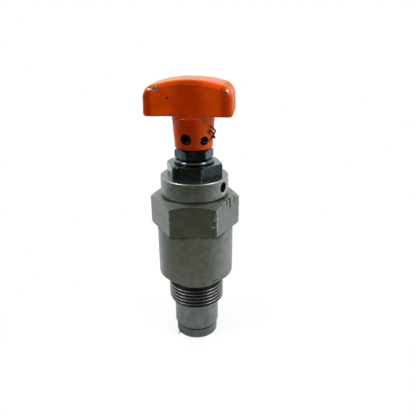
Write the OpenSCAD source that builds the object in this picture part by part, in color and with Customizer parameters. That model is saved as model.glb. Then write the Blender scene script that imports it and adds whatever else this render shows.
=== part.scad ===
// Hydraulic relief valve: a screw-in cartridge whose spring is set by a T-handle.
// The origin is the centre of the inlet port's mouth, in the nose's end face.
// +Z runs up the valve's axis to the knob, and -Y is the side that faces a viewer.

/* [Nose and seat] */
// Diameter of the nose below the groove
nose_d = 23; // [22:0.5:24]
// Height of the nose below the groove
nose_h = 4.2; // [4:0.1:5]
// Diameter at the bottom of the narrow groove
groove_d = 21.4; // [20.5:0.1:22]
// Width of the narrow groove between the nose and the sleeve
groove_w = 1.8; // [1:0.1:2.5]
// Diameter of the pressure inlet in the middle of the nose
inlet_d = 7; // [6:0.5:7]
// Number of return holes around the inlet
return_holes = 6; // [4:1:8]
// Diameter of a return hole
return_d = 3; // [2:0.1:3]

/* [Body] */
// Diameter of the plain sleeve between the nose and the thread
sleeve_d = 24.5; // [24:0.1:26]
// Height of the thread's lower end above the nose's end face
thread_low = 22; // [21:0.5:24]
// Height of the thread's upper end above the nose's end face
thread_top = 33.6; // [32:0.2:34]
// Outer diameter of the thread
thread_d = 30; // [29:0.5:31]
// Diameter of the relief between the thread and the shoulder
relief_d = 25.8; // [25.5:0.1:27]
// Height of the sealing shoulder above the nose's end face
shoulder_z = 39.5; // [39:0.1:41]
// Diameter of the plain barrel above the shoulder
barrel_d = 39.8; // [39:0.1:41]
// Height of the plain barrel
barrel_h = 27.6; // [25:0.1:30]
// Size across the flats of the body's hexagon
body_af = 40; // [39.8:0.1:41]
// Height of the body's hexagon
body_hex_h = 16.5; // [15:0.1:18]
// Turn of the body's hexagon about the axis, in degrees
body_hex_turn = -1.6; // [-10:0.1:10]

/* [Cap] */
// Diameter of the round cap above the hexagon
cap_d = 34.6; // [34:0.1:36]
// Height of the round cap
cap_h = 9.2; // [8.5:0.1:11]
// Width of the groove between the hexagon and the cap
cap_gap = 0.9; // [0.5:0.1:1.5]
// Diameter of the pin-wrench hole in the cap
pin_hole_d = 4.9; // [4:0.1:5]
// Depth of the pin-wrench hole
pin_hole_depth = 5.5; // [4:0.1:5.7]
// Height of the pin-wrench hole's middle above the cap's lower face
pin_hole_up = 4.9; // [4:0.1:5.5]
// Place of the pin-wrench hole, in degrees from the front towards +X
pin_hole_at = 57; // [0:1:180]

/* [Bonnet and lock nut] */
// Size across the flats of the bonnet's hexagon
bonnet_af = 25.4; // [24:0.1:27]
// Height of the bonnet's hexagon
bonnet_hex_h = 6.5; // [5:0.1:8]
// Turn of the bonnet about the axis, in degrees
bonnet_turn = -15.5; // [-30:0.1:30]
// Outer diameter of the rounded seal ring
ring_d = 20.6; // [20:0.1:23]
// Height of the seal ring
ring_h = 2; // [1.5:0.1:2.5]
// Size across the flats of the lock nut
nut_af = 17; // [16:0.5:18]
// Height of the lock nut
nut_h = 5; // [4:0.1:7]
// Turn of the lock nut about the axis, in degrees
nut_turn = 7; // [-30:0.1:30]

/* [Adjuster] */
// Outer diameter of the spindle's thread
spindle_d = 10; // [9.9:0.1:10]
// Travel of the adjuster, from fully in to fully out
adjust_travel = 6; // [4:0.1:6]
// Lift of the poppet from its seat
poppet_lift = 1.5; // [1:0.1:1.5]

/* [Spring] */
// Diameter of the spring's wire
wire_d = 2.8; // [2.4:0.1:2.9]
// Mean diameter of the spring's coil
coil_d = 13.4; // [13.2:0.1:13.6]
// Number of turns in the spring
coil_turns = 7.5; // [6:0.5:9]

/* [Knob] */
// Turn of the knob about the axis, in degrees
knob_turn = -7.5; // [-30:0.5:30]
// Gap between the lock nut and the hub
hub_gap = 0.5; // [0.5:0.1:2]
// Diameter of the hub at its lower end
hub_low_d = 18.8; // [18:0.1:19]
// Diameter of the hub under the grip
hub_top_d = 20.4; // [19:0.1:21]
// Height of the hub below the grip
hub_h = 16.4; // [15:0.1:18]
// Lean of the cast grip towards the front, in degrees
grip_lean = 2; // [0:0.5:2]
// Height of the grip at its middle
grip_h = 16.6; // [15:0.1:18]
// Half length of the grip at its lower edge
grip_half = 21.2; // [20:0.1:24]
// Radius of the grip's arched top
arch_r = 60; // [44:1:70]
// Depth of the grip at its waist
waist_w = 19; // [17:0.1:20]
// Depth of the grip at its ends
end_w = 21.5; // [20:0.1:23]
// Shift of the grip from the spindle's axis, along the grip
grip_shift = -1.3; // [-2:0.1:2]
// Rounding of the grip's edges
edge_r = 2.4; // [1.8:0.1:2.6]
// Height of the set screws above the hub's lower end
screw_up = 5.2; // [4.5:0.1:6]
// Place of the first set screw, in degrees from the front towards +X
screw_at = -22; // [-30:1:-10]
// Height of the seal wire's holes above the hub's lower end
wire_hole_up = 4.5; // [4.2:0.1:4.8]
// Place of the seal wire's first hole, in degrees from the front towards +X
wire_hole_at = 33; // [28:1:38]
// Angle from that hole to the wire's second hole, in degrees
wire_hole_step = 61; // [57:1:65]

/* [Hidden] */

// Play between pieces that move on each other, and between pieces that are screwed together
running = 0.05;
seated = 0.02;
// Edge breaks on turned parts: on outer corners, on small discs, into a bore and at a thread's end
edge = 0.5;
fine_edge = 0.4;
lead_in = 0.6;
thread_lead = 0.8;
// Facets round a large turned part, a smaller one and a small hole
large_round = 96;
mid_round = 64;
small_round = 24;
// Overshoot of a cutting tool past a face
past = 1;

// Diameters to which the hexagons' corners are turned, and at which the body's chamfers start
body_corner_d = body_af * 1.154;
body_low_chamfer_d = 44.2;
body_top_chamfer_d = body_af - 1;
bonnet_corner_d = bonnet_af * 1.146;
nut_corner_d = nut_af * 1.135;
bonnet_chamfer = 1.3;

// Heights above the nose's end face, from the bottom up
sleeve_z = nose_h + groove_w;
thread_chamfer = 1;
hex_z = shoulder_z + barrel_h;
hex_top = hex_z + body_hex_h;
cap_z = hex_top + cap_gap;
cap_top = cap_z + cap_h;
bonnet_top = cap_top + bonnet_hex_h;
ring_z = bonnet_top + seated;
nut_z = ring_z + ring_h + seated;
nut_top = nut_z + nut_h;
hub_z = nut_top + hub_gap;
grip_z = hub_z + hub_h;

// Bores of the body, from the nose up
plug_d = 20.8;
plug_top = 24.5;
chamber_d = 19;
spigot_d = 28;
spigot_z = 61.5;

// Ports in the nose
seat_z = 12.5;
insert_top = 14.5;
seat_flare = insert_top - seat_z;
rim_top = 18.5;
rim_bore_d = 19;
return_r = 7.9;
face_groove_in = 4.15;
face_groove_out = 5.75;
face_groove_h = 1.35;
face_ring_d = 1.3;

// Shoulder seal, with its shallow seat in the shoulder
seat_recess_d = 32.4;
seat_recess_h = 0.3;
shoulder_ring_d = 3;

// Poppet and what sits on its stem
end_play = 0.2;
stem_d = 8;
cone_h = 1.7;
cone_play = 0.06;
head_gap = 0.6;
poppet_head_d = 13;
poppet_head_top = rim_top - poppet_lift - end_play;
neck_d = 5;
seat_disc_z = 27.5;
seat_disc_h = 2.2;
seat_disc_d = 16.4;
spring_pilot_d = 9.9;
pilot_h = 2.8;
clip_h = 0.8;
clip_groove = 0.5;
clip_w = 1.7;
clip_z = seat_disc_z + seat_disc_h + pilot_h + end_play;
stem_top = clip_z + clip_h + lead_in;

// Spring between the disc and the shim
spring_z = seat_disc_z + seat_disc_h + seated;
spring_top = 63.9;
shim_h = 0.6;

// Piston on top of the spring
plate_z = spring_top + shim_h + seated;
plate_d = 17;
plate_h = 8.6;
seal_groove_up = 3;
seal_groove_z = plate_z + seal_groove_up;
seal_groove_h = 3.1;
seal_groove_d = 13.6;
plate_ring_d = 1.65;
backup_h = 1.2;
ball_d = 5;
ball_sink = 1.8;

// Spindle and its stop
plate_top = plate_z + plate_h;
ball_z = plate_top - ball_sink + ball_d / 2;
spindle_z = ball_z + ball_d / 2 + seated;
spindle_in_hub = 14;
spindle_top = hub_z + spindle_in_hub;
tip_d = 8.4;
tip_h = 5;
stop_up = 1.4;
stop_z = spindle_z + stop_up;
stop_h = 1.2;
stop_groove_d = 7.2;
stop_d = 13.6;
shank_z = stop_z + stop_h + adjust_travel + end_play;
shank_d = 20;

// Grooves and edges of the cap and the bonnet
cap_neck_step = 0.7;
cap_low_edge = 0.3;
cap_top_edge = 0.7;
cap_ring_d = 1.62;
cap_groove_d = spigot_d - 3.4;
cap_groove_z = spigot_z + 2;
cap_groove_h = 2.2;
bonnet_ring_d = 1.6;
bonnet_groove_d = shank_d - 3.4;
bonnet_groove_h = 1.8;
bonnet_groove_z = cap_top - 2.4;

// Hub and grip: rounding at the hub's foot, the ledge under the grip, and the grip's rounded ends
hub_round_r = 0.5;
ledge = 0.9;
hub_in_grip = 4;
end_taper = 0.6;
grip_corner_r = 4.2;
flare_end = grip_half - 1;
arch_end = grip_half - end_taper - grip_corner_r;
block_ends = [0, 7, 12.5, arch_end];

// Hub fittings
bore_depth = spindle_in_hub + end_play;
screw_d = 5.2;
screw_len = 3.7;
screw_socket_af = 2.6;
screw_socket_h = 1.85;
wire_hole_d = 4.2;
lock_wire_d = 0.7;

// Route of the two ends of the seal wire, chosen by hand, in the knob's resting place
wire_long = [
    [4.9, -7.1, 112.2], [5.9, -8.3, 112.1], [7.1, -8.2, 112.3], [8.3, -7.1, 112.7],
    [9.3, -5.6, 113.3], [10.1, -4.3, 114.1], [10.8, -3.5, 115.1], [11.2, -3.3, 116.0],
    [10.8, -4.0, 116.9], [10.1, -4.9, 117.8], [9.4, -5.8, 118.5]
];
wire_short = [
    [8.2, 0.6, 112.2], [9.5, 0.5, 112.2], [10.5, -0.1, 112.7], [10.8, -1.0, 113.4],
    [10.9, -1.9, 114.2], [10.6, -2.7, 115.2], [10.2, -3.8, 116.0], [9.9, -4.7, 116.8]
];
wire_sides = 8;

// A turned disc on the axis, with a 45 degree edge break at its lower and its upper end
module turned(d, z0, z1, c0, c1) {
    rotate_extrude($fn = large_round)
        polygon([
            [0, z0], [d / 2 - c0, z0], [d / 2, z0 + c0],
            [d / 2, z1 - c1], [d / 2 - c1, z1], [0, z1]
        ]);
}

// A plain hole or pin on the axis
module round_bar(d, z0, z1) {
    translate([0, 0, z0])
        cylinder(d = d, h = z1 - z0, $fn = mid_round);
}

// A ring of square section
module square_ring(d_in, d_out, z0, z1) {
    difference() {
        round_bar(d_out, z0, z1);
        round_bar(d_in, z0 - past, z1 + past);
    }
}

// A ring of round section
module round_ring(mean_d, wire, z) {
    rotate_extrude($fn = mid_round)
        translate([mean_d / 2, z])
            circle(d = wire, $fn = small_round);
}

// A hexagon bar with its corners turned off to bar_d, and at 30 degrees outside low_d and high_d
module hexagon_bar(af, bar_d, z0, z1, low_d, high_d, turn) {
    slope = tan(30);
    intersection() {
        translate([0, 0, z0])
            rotate([0, 0, turn])
                cylinder(r = af / sqrt(3), h = z1 - z0, $fn = 6);
        rotate_extrude($fn = large_round)
            polygon([
                [0, z0], [low_d / 2, z0], [bar_d / 2, z0 + (bar_d - low_d) / 2 * slope],
                [bar_d / 2, z1 - (bar_d - high_d) / 2 * slope], [high_d / 2, z1], [0, z1]
            ]);
    }
}

// Places a child on a horizontal axis that leaves the valve's axis at an angle from the front
module from_front(angle, z) {
    translate([0, 0, z])
        rotate([0, 0, angle - 90])
            rotate([0, 90, 0])
                children();
}

// A tube swept along a list of points, with its ends closed flat
module swept_tube(route, d, sides) {
    reference = [0.3, 0.2, 1];
    n = len(route);
    rings = [
        for (i = [0 : n - 1])
            let (
                along = route[min(i + 1, n - 1)] - route[max(i - 1, 0)],
                t = along / norm(along),
                flat = cross(t, reference),
                u = flat / norm(flat),
                v = cross(t, u)
            )
            for (k = [0 : sides - 1])
                route[i] + d / 2 * (cos(360 * k / sides) * u + sin(360 * k / sides) * v)
    ];
    walls = [
        for (i = [0 : n - 2])
            for (k = [0 : sides - 1])
                let (a = i * sides + k, b = i * sides + (k + 1) % sides)
                for (f = [[a, b, b + sides], [a, b + sides, a + sides]])
                    f
    ];
    ends = [
        [for (k = [sides - 1 : -1 : 0]) k],
        [for (k = [0 : sides - 1]) (n - 1) * sides + k]
    ];
    polyhedron(points = rings, faces = concat(walls, ends));
}

// Body, turned and milled from one bar
module body_shell() {
    color([0.36, 0.38, 0.36])
        difference() {
            union() {
                turned(sleeve_d, sleeve_z, thread_low + past, edge, 0);
                turned(thread_d, thread_low, thread_top, thread_chamfer, thread_lead);
                round_bar(relief_d, thread_top - past, shoulder_z + past);
                turned(barrel_d, shoulder_z, hex_z + past, edge, 0);
                hexagon_bar(
                    body_af, body_corner_d, hex_z, hex_top, body_low_chamfer_d, body_top_chamfer_d,
                    body_hex_turn
                );
            }
            difference() {
                round_bar(seat_recess_d, shoulder_z - past, shoulder_z + seat_recess_h);
                round_bar(relief_d, shoulder_z - 2 * past, shoulder_z + past);
            }
            round_bar(plug_d, sleeve_z - past, plug_top);
            round_bar(chamber_d, plug_top - past, spigot_z + past);
            round_bar(spigot_d, spigot_z, hex_top + past);
        }
}

// Nose with the valve seat, pressed into the lower sleeve
module seat_insert() {
    seat_r = inlet_d / 2;
    color([0.4, 0.42, 0.41])
        difference() {
            union() {
                turned(nose_d, 0, nose_h, edge, 0);
                round_bar(groove_d, nose_h - past, sleeve_z);
                round_bar(plug_d, sleeve_z - past / 2, insert_top);
                round_bar(plug_d, insert_top - past, rim_top);
            }
            round_bar(inlet_d, -past, seat_z);
            rotate_extrude($fn = mid_round)
                polygon([
                    [0, seat_z], [seat_r, seat_z],
                    [seat_r + seat_flare, seat_z + seat_flare],
                    [seat_r + seat_flare, insert_top + past], [0, insert_top + past]
                ]);
            round_bar(rim_bore_d, insert_top, rim_top + past);
            for (i = [0 : return_holes - 1])
                rotate([0, 0, 360 / return_holes * (i + 0.5)])
                    translate([return_r, 0, -past])
                        cylinder(d = return_d, h = insert_top + 2 * past, $fn = small_round);
            square_ring(2 * face_groove_in, 2 * face_groove_out, -past, face_groove_h);
        }
}

// O-ring in the end face, between the inlet and the return holes
module nose_seal() {
    color([0.05, 0.05, 0.05])
        round_ring(face_groove_in + face_groove_out, face_ring_d, face_groove_h - face_ring_d / 2 - seated);
}

// O-ring against the shoulder
module shoulder_o_ring() {
    color([0.05, 0.05, 0.05])
        round_ring(
            relief_d + shoulder_ring_d + 2 * seated, shoulder_ring_d,
            shoulder_z + seat_recess_h - shoulder_ring_d / 2 - seated
        );
}

// Bush that guides the poppet's stem, with passages for the return oil
module guide_bush() {
    color([0.72, 0.6, 0.3])
        difference() {
            round_bar(plug_d, rim_top, plug_top);
            round_bar(stem_d + 2 * running, rim_top - past, plug_top + past);
            for (i = [0 : return_holes - 1])
                rotate([0, 0, 360 / return_holes * i])
                    translate([(stem_d + chamber_d) / 4, 0, rim_top - past])
                        cylinder(d = return_d, h = plug_top - rim_top + 2 * past, $fn = small_round);
        }
}

// Poppet: the cone, its head and the stepped stem
module poppet() {
    tip_r = inlet_d / 2 + cone_play;
    cone_z = seat_z + 2 * cone_play;
    head_z = insert_top + head_gap;
    color([0.7, 0.72, 0.74])
        rotate_extrude($fn = mid_round)
            difference() {
                polygon([
                    [0, cone_z], [tip_r, cone_z], [tip_r + cone_h, cone_z + cone_h],
                    [tip_r + cone_h, head_z], [poppet_head_d / 2, head_z],
                    [poppet_head_d / 2, poppet_head_top], [stem_d / 2, poppet_head_top],
                    [stem_d / 2, seat_disc_z], [neck_d / 2, seat_disc_z],
                    [neck_d / 2, stem_top], [0, stem_top]
                ]);
                translate([neck_d / 2 - clip_groove, clip_z])
                    square([clip_groove + past, clip_h]);
            }
}

// Disc that carries the spring, with a pilot inside the coil
module spring_seat() {
    color([0.45, 0.46, 0.47])
        difference() {
            union() {
                turned(seat_disc_d, seat_disc_z, seat_disc_z + seat_disc_h, fine_edge, 0);
                turned(spring_pilot_d, seat_disc_z, seat_disc_z + seat_disc_h + pilot_h, 0, lead_in);
            }
            round_bar(neck_d + 2 * seated, seat_disc_z - past, stem_top);
        }
}

// Snap ring in the stem's groove, open on one side
module seat_clip() {
    inner_d = neck_d - 2 * clip_groove + 2 * seated;
    slot = 2.4;
    color([0.2, 0.2, 0.22])
        difference() {
            square_ring(inner_d, inner_d + 2 * clip_w, clip_z + seated, clip_z + clip_h - seated);
            translate([0, -slot / 2, clip_z - past])
                cube([neck_d, slot, clip_h + 2 * past]);
        }
}

// Coil spring with closed ends, whose pitch grows from the ends to the middle
module main_spring() {
    steps = 20;
    count = ceil(coil_turns * steps);
    height = spring_top - spring_z - wire_d;
    closed = 1;
    closed_gap = 0.06;
    function climb(turn) =
        let (
            lead = wire_d + closed_gap,
            free = (height - 2 * closed * lead) / (coil_turns - 2 * closed)
        )
        turn < closed ? turn * lead
        : turn > coil_turns - closed ? height - (coil_turns - turn) * lead
        : closed * lead + (turn - closed) * free;
    route = [
        for (i = [0 : count])
            let (turn = coil_turns * i / count)
            [
                coil_d / 2 * cos(360 * turn),
                coil_d / 2 * sin(360 * turn),
                spring_z + wire_d / 2 + climb(turn)
            ]
    ];
    color([0.3, 0.31, 0.33])
        swept_tube(route, wire_d, 8);
}

// Washer that sets the spring's preload
module spring_shim() {
    color([0.6, 0.62, 0.64])
        square_ring(spring_pilot_d + 2 * seated, seat_disc_d, spring_top + seated, spring_top + shim_h);
}

// Piston between the spring and the spindle
module spring_plate() {
    color([0.5, 0.51, 0.52])
        difference() {
            union() {
                turned(plate_d - 2 * running, plate_z, plate_top, fine_edge, fine_edge);
                turned(spring_pilot_d, plate_z - pilot_h, plate_z + past, lead_in, 0);
            }
            square_ring(seal_groove_d, plate_d + past, seal_groove_z, seal_groove_z + seal_groove_h);
            translate([0, 0, ball_z])
                sphere(d = ball_d + 2 * seated, $fn = mid_round);
        }
}

// O-ring on the piston
module plate_o_ring() {
    color([0.05, 0.05, 0.05])
        round_ring(
            seal_groove_d + plate_ring_d + 2 * seated, plate_ring_d - 2 * seated,
            seal_groove_z + plate_ring_d / 2
        );
}

// Stiff ring that keeps the O-ring from being squeezed out
module backup_ring() {
    top = seal_groove_z + seal_groove_h - seated;
    color([0.9, 0.88, 0.82])
        square_ring(seal_groove_d + 2 * seated, plate_d - 2 * running, top - backup_h, top);
}

// Ball that lets the spindle turn on the piston
module thrust_ball() {
    color([0.8, 0.82, 0.84])
        translate([0, 0, ball_z])
            sphere(d = ball_d, $fn = mid_round);
}

// Cap screwed into the top of the body
module cap_sleeve() {
    color([0.42, 0.42, 0.4])
        difference() {
            union() {
                turned(spigot_d - 2 * seated, spigot_z + seated, hex_top + past, lead_in, 0);
                round_bar(cap_d - 2 * cap_neck_step, hex_top + seated, cap_z + past);
                turned(cap_d, cap_z, cap_top, cap_low_edge, cap_top_edge);
            }
            round_bar(plate_d, spigot_z - past, shank_z + past);
            round_bar(shank_d, shank_z, cap_top + past);
            square_ring(cap_groove_d, spigot_d + past, cap_groove_z, cap_groove_z + cap_groove_h);
            from_front(pin_hole_at, cap_z + pin_hole_up)
                translate([0, 0, cap_d / 2 - pin_hole_depth])
                    cylinder(d = pin_hole_d, h = pin_hole_depth + past, $fn = mid_round);
        }
}

// O-ring on the cap's spigot
module cap_o_ring() {
    color([0.05, 0.05, 0.05])
        round_ring(
            cap_groove_d + cap_ring_d + 2 * seated, cap_ring_d,
            cap_groove_z + cap_ring_d / 2 + seated
        );
}

// Bonnet nut that carries the spindle's thread
module bonnet() {
    color([0.06, 0.065, 0.07])
        difference() {
            union() {
                turned(shank_d - 2 * seated, shank_z + seated, cap_top + past, lead_in, 0);
                hexagon_bar(
                    bonnet_af, bonnet_corner_d, cap_top + seated, bonnet_top, bonnet_corner_d,
                    bonnet_corner_d - 2 * bonnet_chamfer, bonnet_turn
                );
            }
            round_bar(spindle_d + 2 * running, shank_z - past, bonnet_top + past);
            square_ring(bonnet_groove_d, shank_d + past, bonnet_groove_z, bonnet_groove_z + bonnet_groove_h);
        }
}

// O-ring on the bonnet's shank
module bonnet_seal() {
    color([0.05, 0.05, 0.05])
        round_ring(
            bonnet_groove_d + bonnet_ring_d + 2 * seated, bonnet_ring_d,
            bonnet_groove_z + bonnet_groove_h / 2
        );
}

// Rounded seal ring under the lock nut
module seal_ring() {
    round_r = ring_h / 2;
    color([0.05, 0.055, 0.06])
        difference() {
            rotate_extrude($fn = large_round)
                union() {
                    translate([0, ring_z])
                        square([ring_d / 2 - round_r, ring_h]);
                    translate([ring_d / 2 - round_r, ring_z + round_r])
                        circle(r = round_r, $fn = mid_round);
                }
            round_bar(spindle_d + 2 * running, ring_z - past, ring_z + ring_h + past);
        }
}

// Hexagon lock nut, chamfered on both faces
module lock_nut() {
    color([0.06, 0.065, 0.07])
        difference() {
            hexagon_bar(nut_af, nut_corner_d, nut_z, nut_top, nut_af - edge, nut_af - edge, nut_turn);
            round_bar(spindle_d + 2 * running, nut_z - past, nut_top + past);
        }
}

// Adjuster screw, with a plain tip and a groove for its stop ring
module spindle() {
    color([0.3, 0.31, 0.32])
        difference() {
            union() {
                turned(tip_d, spindle_z, spindle_z + tip_h + past, lead_in, 0);
                turned(spindle_d, spindle_z + tip_h, spindle_top, thread_lead, thread_lead);
            }
            square_ring(stop_groove_d, spindle_d, stop_z, stop_z + stop_h);
        }
}

// Open retaining ring that stops the spindle under the bonnet
module stop_ring() {
    slot = 3;
    color([0.2, 0.2, 0.22])
        difference() {
            square_ring(stop_groove_d + 2 * seated, stop_d, stop_z + seated, stop_z + stop_h - seated);
            translate([0, -slot / 2, stop_z - past])
                cube([stop_d, slot, stop_h + 2 * past]);
        }
}

// One end block of the grip, from a cross-section near the waist out to its end
module grip_block(side, from, to, corner_r) {
    base_z = grip_z + edge_r;
    top_z = grip_z + grip_h;
    function flare(x) = (1 - cos(180 * min(x / flare_end, 1))) / 2;
    function half_depth(x) = waist_w / 2 + (end_w - waist_w) / 2 * flare(x) - edge_r;
    function arch(x) = top_z - arch_r + sqrt(arch_r * arch_r - x * x);
    stations = [for (i = [0 : 2]) from + (to - from) * i / 2];
    hull() {
        for (x = stations)
            for (y = [-1, 1])
                translate([side * x, y * half_depth(x), arch(x) - edge_r])
                    sphere(r = edge_r, $fn = small_round);
        for (x = [from, corner_r > 0 ? grip_half - edge_r : to])
            for (y = [-1, 1])
                translate([side * x, y * half_depth(x), base_z])
                    sphere(r = edge_r, $fn = small_round);
        if (corner_r > 0)
            for (a = [0 : 30 : 90])
                for (y = [-1, 1])
                    translate([
                        side * (to + (corner_r - edge_r) * cos(a)),
                        y * half_depth(grip_half),
                        arch(to) - corner_r + (corner_r - edge_r) * sin(a)
                    ])
                        sphere(r = edge_r, $fn = small_round);
    }
}

// T-handle: arched grip with a slight waist on a tapered hub
module knob() {
    low_r = hub_low_d / 2;
    top_r = hub_top_d / 2;
    color([0.72, 0.2, 0.03])
        difference() {
            union() {
                rotate_extrude($fn = large_round)
                    union() {
                        polygon([
                            [0, hub_z], [low_r - hub_round_r, hub_z],
                            [low_r, hub_z + hub_round_r], [top_r, grip_z],
                            [top_r, grip_z + ledge / 3], [top_r - ledge, grip_z + ledge * 4 / 3],
                            [top_r - ledge, grip_z + hub_in_grip], [0, grip_z + hub_in_grip]
                        ]);
                        translate([low_r - hub_round_r, hub_z + hub_round_r])
                            circle(r = hub_round_r, $fn = small_round);
                    }
                rotate([0, 0, knob_turn])
                    translate([grip_shift, 0, grip_z])
                        rotate([grip_lean, 0, 0])
                            translate([0, 0, -grip_z])
                                for (side = [-1, 1])
                                    for (i = [0 : 2])
                                        grip_block(
                                            side, block_ends[i], block_ends[i + 1],
                                            i == 2 ? grip_corner_r : 0
                                        );
            }
            round_bar(spindle_d + 2 * seated, hub_z - past, hub_z + bore_depth);
            for (angle = [screw_at, screw_at + 180])
                from_front(angle, hub_z + screw_up)
                    cylinder(d = screw_d + 2 * seated, h = hub_low_d, $fn = mid_round);
            for (angle = [wire_hole_at, wire_hole_at + wire_hole_step])
                from_front(angle, hub_z + wire_hole_up)
                    translate([0, 0, spindle_d / 2])
                        cylinder(d = wire_hole_d, h = hub_low_d, $fn = mid_round);
        }
}

// Socket set screws that clamp the hub on the spindle
module set_screws() {
    color([0.05, 0.05, 0.055])
        for (angle = [screw_at, screw_at + 180])
            from_front(angle, hub_z + screw_up)
                translate([0, 0, spindle_d / 2 + seated])
                    difference() {
                        cylinder(d = screw_d, h = screw_len, $fn = mid_round);
                        translate([0, 0, screw_len - screw_socket_h])
                            cylinder(r = screw_socket_af / sqrt(3), h = screw_len, $fn = 6);
                    }
}

// Seal wire through the hub's two side holes
module lock_wire() {
    color([0.25, 0.24, 0.23]) {
        swept_tube(wire_long, lock_wire_d, wire_sides);
        swept_tube(wire_short, lock_wire_d, wire_sides);
    }
}

body_shell();
seat_insert();
nose_seal();
shoulder_o_ring();
guide_bush();
poppet();
spring_seat();
seat_clip();
main_spring();
spring_shim();
spring_plate();
plate_o_ring();
backup_ring();
thrust_ball();
cap_sleeve();
cap_o_ring();
bonnet();
bonnet_seal();
seal_ring();
lock_nut();
spindle();
stop_ring();
knob();
set_screws();
lock_wire();
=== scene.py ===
import math
import bmesh
import bpy
import numpy as np
from mathutils import Matrix, Vector


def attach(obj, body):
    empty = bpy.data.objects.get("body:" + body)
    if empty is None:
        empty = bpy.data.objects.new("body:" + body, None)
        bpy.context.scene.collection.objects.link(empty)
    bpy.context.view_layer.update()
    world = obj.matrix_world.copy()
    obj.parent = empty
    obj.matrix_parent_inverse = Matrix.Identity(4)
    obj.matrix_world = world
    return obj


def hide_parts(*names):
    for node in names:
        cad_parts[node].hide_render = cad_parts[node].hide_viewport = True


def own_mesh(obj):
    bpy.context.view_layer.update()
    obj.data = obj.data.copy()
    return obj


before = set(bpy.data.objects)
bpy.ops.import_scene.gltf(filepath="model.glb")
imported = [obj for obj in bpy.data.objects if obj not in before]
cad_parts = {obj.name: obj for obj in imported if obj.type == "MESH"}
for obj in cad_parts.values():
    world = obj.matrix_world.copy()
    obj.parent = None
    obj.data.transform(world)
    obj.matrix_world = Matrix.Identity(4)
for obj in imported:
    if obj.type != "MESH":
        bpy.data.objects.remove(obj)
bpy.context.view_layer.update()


# Studio: the valve stands on a white table in a light tent, with a dark cloth on the camera's side.
# The camera is close and looks down on the valve, so the nose looks much slimmer than the knob.
# The cloth shows only in reflections, where it keeps the middle of every bright metal face dark.
mm = 0.001
photo_px, focal_px = 416, 420
sensor = 36
camera_at = Vector((6.8, -204.8, 157.5)) * mm
camera_down, camera_roll = math.radians(22), math.radians(-0.35)


def stand(name, data):
    """A new object in the scene."""
    made = bpy.data.objects.new(name, data)
    bpy.context.scene.collection.objects.link(made)
    return made


camera_data = bpy.data.cameras.new("camera")
camera_data.sensor_fit = "HORIZONTAL"
camera_data.sensor_width = sensor
camera_data.lens = sensor * focal_px / photo_px
camera_data.clip_start = 0.01
camera = stand("camera", camera_data)
camera.matrix_world = (
    Matrix.Translation(camera_at)
    @ Matrix.Rotation(math.pi / 2 - camera_down, 4, "X")
    @ Matrix.Rotation(camera_roll, 4, "Z")
)
bpy.context.scene.camera = camera
bpy.context.scene.view_settings.view_transform = "Standard"


class Shade:
    """A shader socket. Its operators add Math nodes to the tree in hand, and node() adds any other node."""

    tree = None

    def __init__(self, socket):
        self.socket = socket

    @classmethod
    def node(cls, kind, settings=None, inputs=None, output=0):
        made = cls.tree.nodes.new(kind)
        for name, value in (settings or {}).items():
            setattr(made, name, value)
        for name, value in (inputs or {}).items():
            if isinstance(value, Shade):
                cls.tree.links.new(value.socket, made.inputs[name])
            elif made.inputs[name].type == "RGBA":
                made.inputs[name].default_value = (*value, 1)
            else:
                made.inputs[name].default_value = value
        return cls(made.outputs[output]) if made.outputs else made

    @classmethod
    def maths(cls, operation, *values):
        return cls.node("ShaderNodeMath", {"operation": operation}, dict(enumerate(values)))

    def __add__(self, other):
        return self.maths("ADD", self, other)

    def __sub__(self, other):
        return self.maths("SUBTRACT", self, other)

    def __rsub__(self, other):
        return self.maths("SUBTRACT", other, self)

    def __mul__(self, other):
        return self.maths("MULTIPLY", self, other)

    def __truediv__(self, other):
        return self.maths("DIVIDE", self, other)

    def __abs__(self):
        return self.maths("ABSOLUTE", self)

    __radd__ = __add__
    __rmul__ = __mul__

    def most(self, other):
        return self.maths("MAXIMUM", self, other)

    def rise(self, low, high):
        """0 below low and 1 above high, smooth between. It falls instead where low is over high."""
        ends = {"From Min": min(low, high), "From Max": max(low, high)}
        made = self.node("ShaderNodeMapRange", {"interpolation_type": "SMOOTHSTEP"}, {"Value": self, **ends})
        return 1 - made if low > high else made

    def over(self, low, high):
        """The same rise of a length in metres, between two lengths in millimetres."""
        return self.rise(low * mm, high * mm)

    def vector(self, operation, other=None, output=0):
        inputs = {0: self} if other is None else {0: self, 1: other}
        return self.node("ShaderNodeVectorMath", {"operation": operation}, inputs, output)

    def scaled(self, *factors):
        return self.vector("MULTIPLY", factors)

    def along(self, direction):
        return self.vector("DOT_PRODUCT", direction, "Value")

    def length(self):
        return self.vector("LENGTH", None, "Value")

    @property
    def x(self):
        return self.along((1, 0, 0))

    @property
    def z(self):
        return self.along((0, 0, 1))

    @property
    def front(self):
        return self.along((0, -1, 0))

    @property
    def r(self):
        """How far the point is from the valve's axis."""
        return self.scaled(1, 1, 0).length()

    def noise(self, scale=1.0, detail=2.0, roughness=0.5, distortion=0.0):
        return self.node("ShaderNodeTexNoise", None, {
            "Vector": self, "Scale": scale, "Detail": detail,
            "Roughness": roughness, "Distortion": distortion,
        })

    @classmethod
    def mixed(cls, first, second, factor):
        """The first colour where the factor is 0 and the second where it is 1."""
        return cls.node("ShaderNodeMix", {"data_type": "RGBA"}, {0: factor, 6: first, 7: second}, 2)

    def mix(self, other, factor):
        return self.mixed(self, other, factor)


def place():
    """Where the shaded point is on the object, in metres."""
    return Shade.node("ShaderNodeTexCoord", output="Object")


def bare_tree(owner):
    """Empties the nodes of a material or world, and makes it the tree in hand."""
    owner.use_nodes = True
    owner.node_tree.nodes.clear()
    Shade.tree = owner.node_tree
    return owner


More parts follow.
